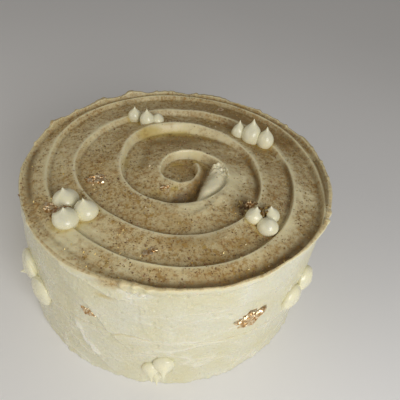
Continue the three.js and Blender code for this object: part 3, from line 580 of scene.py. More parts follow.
def side_relief(degrees, height, top):
    """Fine relief of the side: slow facets and thin ridged strokes of the knife, the listed ridges,
    pits, crumble under the lip and at the foot."""
    x, y = on_ring(degrees, WALL_RADIUS_TOP)
    facets = np.abs(uneven(x, y, height * 1.6, 34, 61, 2)) * FACET
    slow = uneven(x, y, height, 15, 71, 2) * SIDE_SWELL
    strokes = STROKE_RIDGE * knife_strokes(degrees, height)
    streak = uneven(x, y, height * 9, 18, 81, 3) * STREAK
    crumbs = np.clip(uneven(x, y, height, 3.4, 91, 2) - 0.05, 0, 1) * CRUMB
    crumble = bump(turn_gap(degrees, CRUMBLED_ANGLE), 9) * bump(top - height - 8, 7) * crumbs
    pits = -np.clip(uneven(x, y, height, 3.1, 95, 2) - 0.62, 0, 1) * PIT
    grain = uneven(x, y, height, 2.6, 101, 2) * SIDE_GRAIN
    foot = bump(height, 3.5) * (0.5 + uneven(x, y, height, 3.5, 111, 2)) * FOOT_CRUMB
    ridges = smoothstep(height / top, 0, 0.02) * ridge_relief(degrees, height)
    return facets + slow + strokes + streak + crumble + pits + grain + ridges + foot


def wall_reach(degrees, height, top):
    """Reach of the side coat from the cake's axis, as in the part, plus the finer relief."""
    angle = np.radians(degrees)
    down, level = top - height, height / top
    wall = mix(WALL_RADIUS_BASE, WALL_RADIUS_TOP, level)
    lip = bump(down - LIP_BELLY, LIP_DEPTH - LIP_BELLY) * (RIM_RADIUS - WALL_RADIUS_TOP)
    ragged = LIP_RAGGED * wave(angle, 2.2)
    for centre, half_width, _, reach in LIP_LUMPS + LIP_CRUMBS:
        ragged = ragged + reach * bump(turn_gap(degrees, centre), half_width)
    ragged = ragged * bump(down - LIP_BELLY, LIP_DEPTH)
    slow = SIDE_WAVE * wave(angle, 3.1 + level) * smoothstep(level, 0, 0.1)
    above, strength = seam_gap(degrees, height, top)
    lap = SEAM_STEP * strength * smoothstep(above, -0.6, 0.6) * (1 - smoothstep(above, SEAM_GAP, SEAM_ROLL))
    lap = lap - SEAM_GROOVE * strength * np.exp(-((above + 1.3) / 0.9) ** 2)
    fine = side_relief(degrees, height, top) * smoothstep(down, 0, 3)
    return wall + lip + ragged + slow + lap + fine - MEAN_RELIEF


def side_points(degrees, height, top):
    """Points of the side at an angle and a height under a place of the rim. The side leans with height."""
    x, y = on_ring(degrees, wall_reach(degrees, height, top))
    lean = height / CAKE_HEIGHT
    return np.stack([x + LEAN[0] * lean, y + LEAN[1] * lean, height], -1)


# ---- Meshes -----------------------------------------------------------------------------------
def add_mesh(name, points, faces, material, uv=None, smooth=True, **attributes):
    """A mesh object at the origin from points in mm, faces as rows of corners, and point attributes."""
    sides = faces.shape[1]
    mesh = bpy.data.meshes.new(name)
    mesh.vertices.add(len(points))
    mesh.vertices.foreach_set("co", (points / 1000).astype(np.float32).ravel())
    mesh.loops.add(faces.size)
    mesh.loops.foreach_set("vertex_index", faces.astype(np.int32).ravel())
    mesh.polygons.add(len(faces))
    mesh.polygons.foreach_set("loop_start", np.arange(0, faces.size, sides, dtype=np.int32))
    mesh.polygons.foreach_set("use_smooth", np.full(len(faces), smooth))
    mesh.update(calc_edges=True)
    if uv is not None:
        layer = mesh.uv_layers.new(name="along_the_stroke")
        layer.data.foreach_set("uv", uv[faces.ravel()].astype(np.float32).ravel())
    for key, values in attributes.items():
        mesh.attributes.new(key, "FLOAT", "POINT").data.foreach_set("value", values.astype(np.float32))
    mesh.materials.append(material)
    piece = bpy.data.objects.new(name, mesh)
    bpy.context.collection.objects.link(piece)
    return piece


def grid_faces(rows, columns, closed=False):
    """Two triangles for each cell of a grid of points, row by row, closed round its columns or not."""
    steps = columns if closed else columns - 1
    row, column = np.meshgrid(np.arange(rows - 1), np.arange(steps), indexing="ij")
    after = (column + 1) % columns
    a, b = row * columns + column, row * columns + after
    c, d = (row + 1) * columns + after, (row + 1) * columns + column
    return cell_faces(a, b, c, d)


def cell_faces(a, b, c, d):
    """Two triangles for each cell, from the numbers of its corners."""
    return np.concatenate([np.stack(corners, -1).reshape(-1, 3) for corners in ((a, b, c), (a, c, d))])


def side_heights(top):
    """Heights of the side's rows, from just under the lip's edge to the floor: close together in the
    lip and evenly spaced below it."""
    lip = top[:, None] - LIP_ROWS
    wall = FOOT_TOP + (top[:, None] - WALL_DEPTH - FOOT_TOP) * np.linspace(1, 0, WALL_ROWS)
    foot = np.broadcast_to(FOOT_ROWS, (len(top), len(FOOT_ROWS)))
    return np.concatenate([lip, wall, foot], 1)


def rim_index(column, row):
    """Number of the coat's point in a column of the rim and a row of the side under it."""
    return STRIP_POINTS + ((column - RIM_START) % COLUMNS) * RIM_ROWS + row


def strip_index(column, row):
    """Number of the coat's point in a column and a row of the top's strip. A channel's last row is the
    next turn's first or the rim. The first column, and the first row before the crest, are the centre."""
    over = row == CHANNEL_ROWS
    column = np.where(over, column + COLUMNS, column)
    row = np.where(over, 0, row)
    inside = (np.minimum(column, STRIP_END - 1) - STRIP_START) * CHANNEL_ROWS + row
    on_rim = np.where(over, rim_index(column, 0), rim_index(RIM_START, 0))
    at_centre = (column == STRIP_START) | ((row == 0) & (column <= CREST_START))
    return np.where(at_centre, 0, np.where(column >= STRIP_END, on_rim, inside))


def coat_faces():
    """Faces of the top's strip, of the side under the rim and of the flat underside."""
    rim_columns = np.arange(RIM_START, STRIP_END)
    faces = []
    for index, columns, rows in ((strip_index, np.arange(STRIP_START, STRIP_END), CHANNEL_ROWS),
                                 (rim_index, rim_columns, RIM_ROWS - 1)):
        column, row = np.meshgrid(columns, np.arange(rows), indexing="ij")
        faces.append(cell_faces(index(column, row), index(column + 1, row),
                                index(column + 1, row + 1), index(column, row + 1)))
    foot = RIM_ROWS - 1
    under = np.full(COLUMNS, rim_index(STRIP_END - 1, RIM_ROWS))
    faces.append(np.stack([rim_index(rim_columns, foot), rim_index(rim_columns + 1, foot), under], -1))
    faces = np.concatenate(faces)
    a, b, c = faces.T
    return faces[(a != b) & (b != c) & (c != a)]


def over_coat(on_top, at_rim, on_side):
    """One value for each point of the coat: on the top, at the rim, on the side and 0 under the cake."""
    side = np.concatenate([np.broadcast_to(at_rim, (COLUMNS, 1)), on_side], 1)
    return np.concatenate([on_top.ravel(), side.ravel(), [0]])


def side_looks(side, degrees, heights, top):
    """Shares that colour the side: dust that spilled over the rim, then the painted highlight on the ridges,
    the torn edges and the crumbs, then the painted yellow shade in the crevice and under the ridge."""
    level = heights / top
    spill = bump(turn_gap(degrees, SPILL_ANGLE), 7) * (1 - smoothstep(top - heights, 5, 9))
    gap, strength = seam_gap(degrees, heights, top)
    beside_seam = np.exp(-((gap - 0.9) / 0.8) ** 2) + 0.7 * np.exp(-((gap + 3) / 0.9) ** 2)
    low_ridges = 1 - 0.8 * smoothstep(level, 0.76, 0.84)
    # Painted highlight: on the knife's strokes and ridges, beside the seam's torn edge and on the crumbs
    # under the lip.
    lit = 0.8 * knife_strokes(degrees, heights)
    lit = lit + 1.2 * low_ridges * np.clip(0.85 * ridge_relief(degrees, heights), 0, 1) ** 6
    lit = lit + 0.7 * np.clip(strength, 0, 1) ** 2 * beside_seam
    crumbly = 0.5 + 0.8 * uneven(*np.moveaxis(side, -1, 0), 3.4, 91, 2)
    lit = lit + 1.4 * crumbly * bump(turn_gap(degrees, CRUMBLED_ANGLE), 10) * bump(level - 0.89, 0.08)
    # Painted yellow shade in the seam's crevice and under the high ridge.
    crevice = np.clip(1.2 * strength, 0, 1) ** 2 * np.exp(-((gap + 0.9) / 1.2) ** 2)
    shaded = bump(turn_gap(degrees, SHADED_ANGLE), 5) * bump(level - SHADED_LEVEL, 0.032)
    return spill, np.clip(lit, 0, 1), np.maximum(crevice, 0.9 * shaded)


def build_coat(material):
    """The cake's whole skin. The top is one strip winding out from the centre with the crest, whose
    rows share their last edge with the next turn. The side hangs from the last turn and closes over
    the flat underside. Each point carries the shares that colour it, and UV runs along the strokes."""
    clockwise = np.arange(STRIP_START, STRIP_END) * COLUMN_STEP
    width = outer_radius(clockwise) - inner_radius(clockwise)
    steep = climb_run(clockwise, width)[:, None]
    climb_foot = width[:, None] - steep
    gentle = climb_foot * np.linspace(0, 1, GENTLE_ROWS, endpoint=False)
    climb = climb_foot + steep * np.linspace(0, 1, CLIMB_ROWS, endpoint=False)
    distance = np.concatenate([gentle, climb], 1)
    turn = np.broadcast_to(clockwise[:, None], distance.shape)
    top = top_points(turn, distance)

    rim_turn = clockwise[-COLUMNS:]
    rim = top_points(rim_turn, width[-COLUMNS:])
    heights = side_heights(rim[:, 2])
    degrees = np.broadcast_to(-rim_turn[:, None], heights.shape)
    rim_height = np.broadcast_to(rim[:, 2:], heights.shape)
    side = side_points(degrees, heights, rim_height)
    skirt = np.concatenate([rim[:, None], side], 1)
    points = np.concatenate([top.reshape(-1, 3), skirt.reshape(-1, 3), [[0, 0, 0]]])
    used, faces = np.unique(coat_faces(), return_inverse=True)

    # A brown line at the foot of each climb, and the listed brown folds: dust, darkened as painted shade.
    brown = 0.35 * np.exp(-((distance - climb_foot + 0.2) / 1.1) ** 2)
    brown = np.maximum(folds(turn, distance, BROWN_DUST_AND_SHADE_FOLDS), brown)
    # Painted yellow shade in the listed folds, and painted glow round the drops' feet.
    yellow = np.maximum(folds(turn, distance, YELLOW_SHADE_FOLDS), 0.7 * drop_feet(turn, distance))
    # Painted shade: the dust darkens towards the right and the back.
    deeper = np.clip(0.25 + 0.45 * top[..., 0] / RIM_RADIUS + 0.2 * top[..., 1] / RIM_RADIUS, 0, 1)
    pulled = smoothstep(tongue_height(turn, inner_radius(turn) + distance), 0.5, 2.5)
    patchy = np.clip(0.6 + 0.5 * uneven(*np.moveaxis(top, -1, 0), 14, 161, 2), 0, 1)
    on_crest = patchy * crest_line(turn, distance) * (turn < RIM_START * COLUMN_STEP)
    down = rim_height - heights
    edge = EDGE_DUST * (1 - smoothstep(down, 0, 0.8))
    spill, lit, painted_yellow_shade = side_looks(side, degrees, heights, rim_height)
    looks = {
        "dust": over_coat(dust_cover(turn, distance), EDGE_DUST, np.maximum(edge, SPILL_DUST * spill)),
        "deeper": over_coat(deeper, EDGE_DUST_SHADE, np.full(down.shape, EDGE_DUST_SHADE)),
        "on_top": over_coat(1 - 0.25 * pulled, 1, np.maximum(1 - smoothstep(down, 0, 2.5), spill)),
        "brown": over_coat(brown, 0, 0 * down),
        "yellow": over_coat(yellow, 0, painted_yellow_shade),
        # Painted highlight on the tongue and along the crests.
        "lit": over_coat(np.maximum(0.6 * pulled, 0.75 * on_crest), 0, lit),
    }
    round_rim = np.arange(COLUMNS)[:, None] * COLUMN_STEP * RIM_DEGREE
    along = turn * (inner_radius(turn) + MID_CHANNEL) * math.radians(1)
    along = over_coat(along, round_rim, np.broadcast_to(round_rim, down.shape))
    uv = np.stack([along, over_coat(distance, 0, down)], -1) / UV_LENGTH
    return add_mesh("buttercream_coat", points[used], faces.reshape(-1, 3), material, uv=uv[used],
                    **{key: values[used] for key, values in looks.items()})


def past_tip(clockwise):
    """0 before the spiral's tip, where there is no crest, and 1 after it."""
    return smoothstep(clockwise, ANGLE_TIP - TIP_BLEND, ANGLE_TIP + TIP_BLEND)


def crest_line(clockwise, distance):
    """1 on both crests beside a channel, fading within 2 mm of them."""
    to_next = channel_width(clockwise) - distance
    crest = past_tip(clockwise) * np.exp(-(distance / 1.3) ** 2)
    return np.maximum(crest, past_tip(clockwise + 360) * np.exp(-(to_next / 0.8) ** 2))


def bareness(clockwise, distance):
    """How free of dust, and so how pale, the top is: on the crests, on the walls that look to the front, on
    the slopes behind the crests at the right, in the wiped streaks, and on the tongue, which was pulled up
    after the dusting. That the walls and slopes facing the light are barest is painted light."""
    width = channel_width(clockwise)
    climb = climb_run(clockwise, width)
    radius = inner_radius(clockwise) + distance
    bearing = np.radians(clockwise)
    looks_front = smoothstep(np.cos(bearing - math.radians(FRONT_WALLS)), -0.25, 0.55)
    up_wall = 1 - smoothstep(width - distance, 0.8 * climb, 1.15 * climb + 0.6)
    inner_turns = 1 - 0.7 * smoothstep(clockwise + 360, 655, 720)
    wall = past_tip(clockwise + 360) * looks_front * up_wall
    at_right = smoothstep(np.cos(bearing - math.radians(RIGHT_SLOPES)), 0.3, 0.85)
    slope = past_tip(clockwise) * at_right * (1 - smoothstep(distance, 1, 7))
    slope = slope * smoothstep(clockwise, 300, 360)
    wiped = np.clip(0.8 + 0.35 * uneven(*on_ring(-clockwise, radius), 0 * radius, 9, 131, 3), 0.3, 1)
    bare = wiped * np.maximum(0.95 * wall * inner_turns, 0.7 * slope)
    bare = np.maximum(bare, 0.95 * crest_line(clockwise, distance))
    bare = np.maximum(bare, wiped * folds(clockwise, distance, BARE_STREAKS))
    return np.clip(np.maximum(bare, smoothstep(tongue_height(clockwise, radius), 0.3, 1.5)), 0, 1)


def dust_cover(clockwise, distance):
    """How thickly the dust lies on the top: clouds of 30 mm and clots of 3 mm, the listed places, whose
    dustier ones at the back right stand in for painted shade, and less where the coat is bare."""
    x, y = on_ring(-clockwise, inner_radius(clockwise) + distance)
    cover = MEAN_COVER + CLOUD_CHANGE * uneven(x, y, 0 * x, 30, 141, 2)
    cover = cover + CLOT_CHANGE * uneven(x, y, 0 * x, 3.0, 151, 3)
    for turn, share, half_width, change in DUST_PATCHES:
        centre = RIM_RADIUS * share * np.exp(-1j * math.radians(turn))
        cover = cover + change * bump(np.hypot(x - centre.real, y - centre.imag), half_width)
    return np.clip(cover, 0, 1) * (1 - bareness(clockwise, distance))


def folds(clockwise, distance, paths):
    """Strength of the listed folds at places on the top."""
    radius = inner_radius(clockwise) + distance
    total = sum(strength * stripe(clockwise, radius, path, *sides) for path, strength, *sides in paths)
    return np.clip(total, 0, 1)


def drop_feet(clockwise, distance):
    """A ring round the foot of each drop on the top, where its own light falls back on the coat."""
    x, y = on_ring(-clockwise, inner_radius(clockwise) + distance)
    ring = 0 * x
    for drops in TOP_CLUSTERS.values():
        for share_x, share_y, width, *_ in drops:
            away = np.hypot(x - share_x * RIM_RADIUS, y - share_y * RIM_RADIUS)
            ring = np.maximum(ring, bump(away - width / 2, 3.0))
    return ring


# ---- Piped drops ------------------------------------------------------------------------------
# Distance from the axis as a share of the radius, at shares of the height: with a pulled peak, pressed
# against the side, blunt where the nozzle was wiped away, and with a thin spike.
DROP_SHAPES = {
    "peaked": [
        (-0.3, 0.8), (0, 0.88), (0.08, 0.96), (0.18, 1.0), (0.3, 0.985), (0.42, 0.91), (0.53, 0.78),
        (0.62, 0.61), (0.7, 0.43), (0.77, 0.27), (0.84, 0.16), (0.91, 0.085), (0.96, 0.045), (1, 0.0),
    ],
    "pressed": [
        (-0.3, 0.86), (0, 0.93), (0.15, 0.99), (0.3, 1.0), (0.45, 0.965), (0.6, 0.88), (0.72, 0.76),
        (0.83, 0.58), (0.92, 0.36), (0.98, 0.14), (1, 0.0),
    ],
    "blunt": [
        (-0.3, 0.82), (0, 0.9), (0.12, 0.98), (0.25, 1.0), (0.4, 0.97), (0.55, 0.88), (0.68, 0.74),
        (0.8, 0.55), (0.89, 0.36), (0.95, 0.2), (1, 0.0),
    ],
    "spiked": [
        (-0.3, 0.84), (0, 0.92), (0.1, 0.99), (0.2, 1.0), (0.32, 0.94), (0.42, 0.82), (0.5, 0.65),
        (0.58, 0.45), (0.66, 0.29), (0.75, 0.19), (0.85, 0.12), (0.94, 0.06), (1, 0.0),
    ],
}
DROP_SIDES, DROP_ROWS = 44, 34


def drop_points(shape, width, height, seed, lean):
    """A piped drop on its own axis: a full round foot that draws in to its tip. The axis bends by the
    cube of the height. Slow sines make the round uneven, and a fold winds up towards the tip."""
    knots = np.array(DROP_SHAPES[shape])
    share = np.linspace(knots[0, 0], 1, DROP_ROWS)
    round_ = np.linspace(0, 2 * np.pi, DROP_SIDES, endpoint=False)
    profile = np.interp(share, knots[:, 0], knots[:, 1])
    profile[1:-1] = (profile[:-2] + 2 * profile[1:-1] + profile[2:]) / 4
    share, turn = share[:, None], round_[None, :]
    high = np.clip(share, 0, 1)
    fold = np.exp(-((np.cos(turn - 2.2 * high - seed) - 1) / 0.12) ** 2) * high * (1 - high) * 4
    uneven_round = 1 + 0.04 * np.sin(turn + seed) + 0.05 * np.sin(2 * turn + 2.1 * seed) * high + 0.09 * fold
    radius = 0.5 * width * profile[:, None] * uneven_round
    up = np.where(share < 0, share / -knots[0, 0] * DROP_ROOT, share * height) + 0 * turn
    bend = high ** 3 * height
    x = radius * np.cos(turn) + bend * lean[0]
    y = radius * np.sin(turn) + bend * lean[1]
    return np.stack([x, y, up - DROP_SEAT], -1)


def build_drop(name, drop, frame_of, material, seed):
    """One drop set on the coat, replacing its solid."""
    place_a, place_b, width, height, shape, *lean = drop
    local = drop_points(shape, width, height, seed, lean).reshape(-1, 3)
    origin, axes = frame_of(place_a, place_b)
    faces = grid_faces(DROP_ROWS, DROP_SIDES, closed=True)
    bottom = np.arange(1, DROP_SIDES - 1)
    floor = np.stack([np.zeros_like(bottom), bottom + 1, bottom], -1)
    piece = add_mesh(name + "_piped", origin + local @ axes, np.concatenate([faces, floor]), material)
    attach(piece, "root")
    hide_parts(name)
    return piece


def top_frame(share_x, share_y):
    """Where a piece on the top stands, and its axes as rows: straight up."""
    return top_surface(share_x, share_y)[0], np.eye(3)


def side_frame(degrees, level):
    """The same on the side: X runs round the cake, Y up it and Z out of it."""
    sine, cosine = math.sin(math.radians(degrees)), math.cos(math.radians(degrees))
    origin = side_points(*np.array([[degrees], [level * CAKE_HEIGHT], [CAKE_HEIGHT]], float))[0]
    return origin, np.array([[-sine, cosine, 0], [0, 0, 1], [cosine, sine, 0]])


# ---- Gold leaf --------------------------------------------------------------------------------
# Each scrap: its place, its width and length in mm, how far it stands off and how it is turned.
TOP_LEAVES = [
    (-0.685, -0.45, 12, 7.5, 2.2, 10), (0.462, -0.325, 10, 6, 3.5, 8), (-0.495, -0.149, 14, 9, 1.8, 20),
    (-0.117, -0.731, 8.5, 5.5, 1.2, 40), (-0.075, -0.205, 6, 4, 1.3, 10), (0.3, 0.78, 8, 5, 1.4, 60),
]
SIDE_LEAVES = [
    (298, 0.6, 19, 13.5, 2, 28), (244.5, 0.61, 10, 7, 1.6, 15), (118, 0.52, 14, 10, 2, -25),
    (24, 0.66, 9, 6, 1.6, 30),
]
LEAF_CELLS = 26  # points along each side of a scrap's grid
LEAF_TUCK = 0.8  # how deep the outline is tucked into the coat, in mm


def build_leaf(name, leaf, frame_of, material, seed):
    """A crumpled scrap of leaf: a grid whose outline wanders, pushed out by folded noise so that its
    small facets catch the light, with a skirt tucked into the coat."""
    place_a, place_b, width, length, stand_off, turn = leaf
    u, v = np.meshgrid(np.linspace(-1, 1, LEAF_CELLS), np.linspace(-1, 1, LEAF_CELLS), indexing="ij")
    reach = np.maximum(np.abs(u), np.abs(v))
    spread = np.maximum(np.hypot(u, v), LEAST_WIDTH)
    bearing = np.arctan2(v, u)
    outline = 1 + 0.5 * uneven(np.cos(bearing), np.sin(bearing), 0 * u + seed * 7.3, 0.55, seed + 5, 3)
    x = 0.5 * width * (u * reach / spread) * outline
    y = 0.5 * length * (v * reach / spread) * outline
    x = x + 0.35 * uneven(x, y, 0 * x + seed, 1.3, seed + 15, 1)
    y = y + 0.35 * uneven(x, y, 0 * x + seed, 1.3, seed + 25, 1)
    creased = np.abs(uneven(x, y, 0 * x + seed, 2.4, seed + 35, 2))
    z = stand_off * (0.35 + 0.75 * creased) * (1 - reach ** 6)
    z = np.where(reach > 0.97, -LEAF_TUCK, z)
    cos_turn, sin_turn = math.cos(math.radians(turn)), math.sin(math.radians(turn))
    local = np.stack([x * cos_turn - y * sin_turn, x * sin_turn + y * cos_turn, z], -1)
    origin, axes = frame_of(place_a, place_b)
    faces = grid_faces(LEAF_CELLS, LEAF_CELLS)[:, ::-1]
    piece = add_mesh(name, origin + local.reshape(-1, 3) @ axes, faces, material, smooth=False)
    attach(piece, "root")
    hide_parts("cake")
    return piece


# ---- Dust and glitter -------------------------------------------------------------------------
# The corners of a scrap, in shares of its size.
SCRAP = np.array([[-0.5, -0.3], [0.4, -0.5], [0.5, 0.35], [-0.35, 0.5]])
STREWN_REACH = 0.985  # share of the rim radius within which flakes lie
FLAKE_LIFT = 0.12  # mm from the coat to a flake's middle
PATCH_SIZE, LEAST_PATCH = 16.0, 0.12  # patches of dust in mm, and how thin it lies between them
STRANDS_AT, STRANDS_SPREAD = (0.425, -0.335), 9  # their place as shares of the rim radius, and mm


def add_scraps(name, corners, material):
    """One piece from the four corners of each scrap."""
    base = np.arange(len(corners))[:, None] * 4
    faces = np.concatenate([base + [0, 1, 2], base + [0, 2, 3]])
    piece = add_mesh(name, corners.reshape(-1, 3), faces, material, smooth=False)
    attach(piece, "root")
    return piece


def scattered_flakes(name, count, size, material, seed, keep, tilt, draws=3):
    """Thin flakes strewn over the top: four-cornered scraps of random size, each turned and tipped at
    random and lying on the coat. Places are drawn evenly, a few times as many as there are flakes, and
    kept by the given share."""
    random = np.random.default_rng(seed)
    radius = STREWN_REACH * np.sqrt(random.random(count * draws))
    angle = 2 * np.pi * random.random(count * draws)
    x, y = radius * np.cos(angle), radius * np.sin(angle)
    chosen = random.random(count * draws) < keep(x, y)
    x, y = x[chosen][:count], y[chosen][:count]
    count = len(x)
    origin = top_surface(x, y)
    spin = random.random(count) * 2 * np.pi
    scale = size * (0.5 + random.random(count) ** 2 * 1.1)
    local_x = SCRAP[None, :, 0] * scale[:, None]
    local_y = SCRAP[None, :, 1] * scale[:, None] * (0.5 + 0.5 * random.random(count))[:, None]
    cos_spin, sin_spin = np.cos(spin)[:, None], np.sin(spin)[:, None]
    across = local_x * cos_spin - local_y * sin_spin
    along = local_x * sin_spin + local_y * cos_spin
    tip = (random.random((count, 2)) - 0.5) * tilt * 2
    rise = across * tip[:, :1] + along * tip[:, 1:] + FLAKE_LIFT + 0.2 * scale[:, None] * tilt
    return add_scraps(name, origin[:, None] + np.stack([across, along, rise], -1), material)


def flakes_on_drops(name, listed, size, material, seed):
    """Scraps clinging to drops on the top. Each is centred a little off a point of the drop, from 0.3 to
    0.8 of the way up its rows: its two axes are the tangents round the drop and up it, and each corner
    is lifted along the cross product of the two by a random share of the scrap's size."""
    random = np.random.default_rng(seed)
    order = [drop for drops in TOP_CLUSTERS.values() for drop in drops]
    points = []
    for cluster, number, bearing, spread, count in listed:
        drop = TOP_CLUSTERS[cluster][number - 1]
        share_x, share_y, width, height, shape, *lean = drop
        grid = drop_points(shape, width, height, order.index(drop), lean)
        side = np.radians(bearing + spread * (random.random(count) - 0.5))
        row = (DROP_ROWS * (0.3 + 0.5 * random.random(count))).astype(int)
        column = np.round(side / (2 * np.pi) * DROP_SIDES).astype(int) % DROP_SIDES
        here = grid[row, column]
        up = grid[row + 1, column] - here
        up /= np.linalg.norm(up, axis=1)[:, None]
        round_ = np.stack([-np.sin(side), np.cos(side), 0 * side], -1)
        out = np.cross(round_, up)
        scale = size * (0.5 + random.random(count))
        lift = 0.5 * np.abs(random.random((count, 4)) - 0.2)
        flat = SCRAP[None, :, :1] * round_[:, None] + SCRAP[None, :, 1:] * up[:, None]
        centre = top_surface(share_x, share_y)[0] + here + 0.15 * out
        points.append(centre[:, None] + scale[:, None, None] * (flat + lift[..., None] * out[:, None]))
    return add_scraps(name, np.concatenate(points), material)


def strewn(x, y, seed):
    """Where dust lies: patches of noise, more in the dustier places."""
    cover = dust_cover(*channel_at(x * RIM_RADIUS, y * RIM_RADIUS))
    patch = 0.5 + 0.5 * uneven(x * RIM_RADIUS, y * RIM_RADIUS, 0 * x, PATCH_SIZE, seed, 3)
    return np.clip(patch, LEAST_PATCH, 1) ** 1.5 * np.clip(1.6 * cover, 0.05, 1)


def by_right_drops(x, y):
    """Where strands lie behind the right drops: a round place of 9 mm, thinner towards its edge."""
    return bump(np.hypot(x - STRANDS_AT[0], y - STRANDS_AT[1]) * RIM_RADIUS, STRANDS_SPREAD)


# ---- Materials --------------------------------------------------------------------------------
def linear(code):
    """Linear colour of an sRGB hex code."""
    parts = [int(code[i:i + 2], 16) / 255 for i in (0, 2, 4)]
    return tuple(p / 12.92 if p <= 0.04045 else ((p + 0.055) / 1.055) ** 2.4 for p in parts) + (1.0,)


def per_metre(size):
    """Scale of a noise whose cells have a size in mm."""
    return 1000 / size


def grey(value):
    return (value, value, value, 1.0)


def new_material(name):
    material = bpy.data.materials.new(name)
    material.use_nodes = True
    material.node_tree.nodes.clear()
    return material


def add_node(material, kind, output=None, inputs=None, stops=None, **settings):
    """Adds a shader node with its settings, and gives one of its outputs, or the node itself. An input is
    a value, or the socket that is linked to it. Stops are a ramp's places and colours."""
    tree = material.node_tree
    made = tree.nodes.new("ShaderNode" + kind)
    for key, value in settings.items():
        setattr(made, key, value)
    for key, value in (inputs or {}).items():
        if isinstance(value, bpy.types.NodeSocket):
            tree.links.new(value, made.inputs[key])
        else:
            made.inputs[key].default_value = value
    if stops:
        ramp = made.color_ramp
        while len(ramp.elements) < len(stops):
            ramp.elements.new(0.5)
        for element, (place, colour) in zip(ramp.elements, stops):
            element.position, element.color = place, colour
    return made if output is None else made.outputs[output]


def finish_surface(material, settings):
    """Ends a material in one shader with the given settings."""
    shader = add_node(material, "BsdfPrincipled", "BSDF", settings)
    add_node(material, "OutputMaterial", inputs={"Surface": shader})
    return material


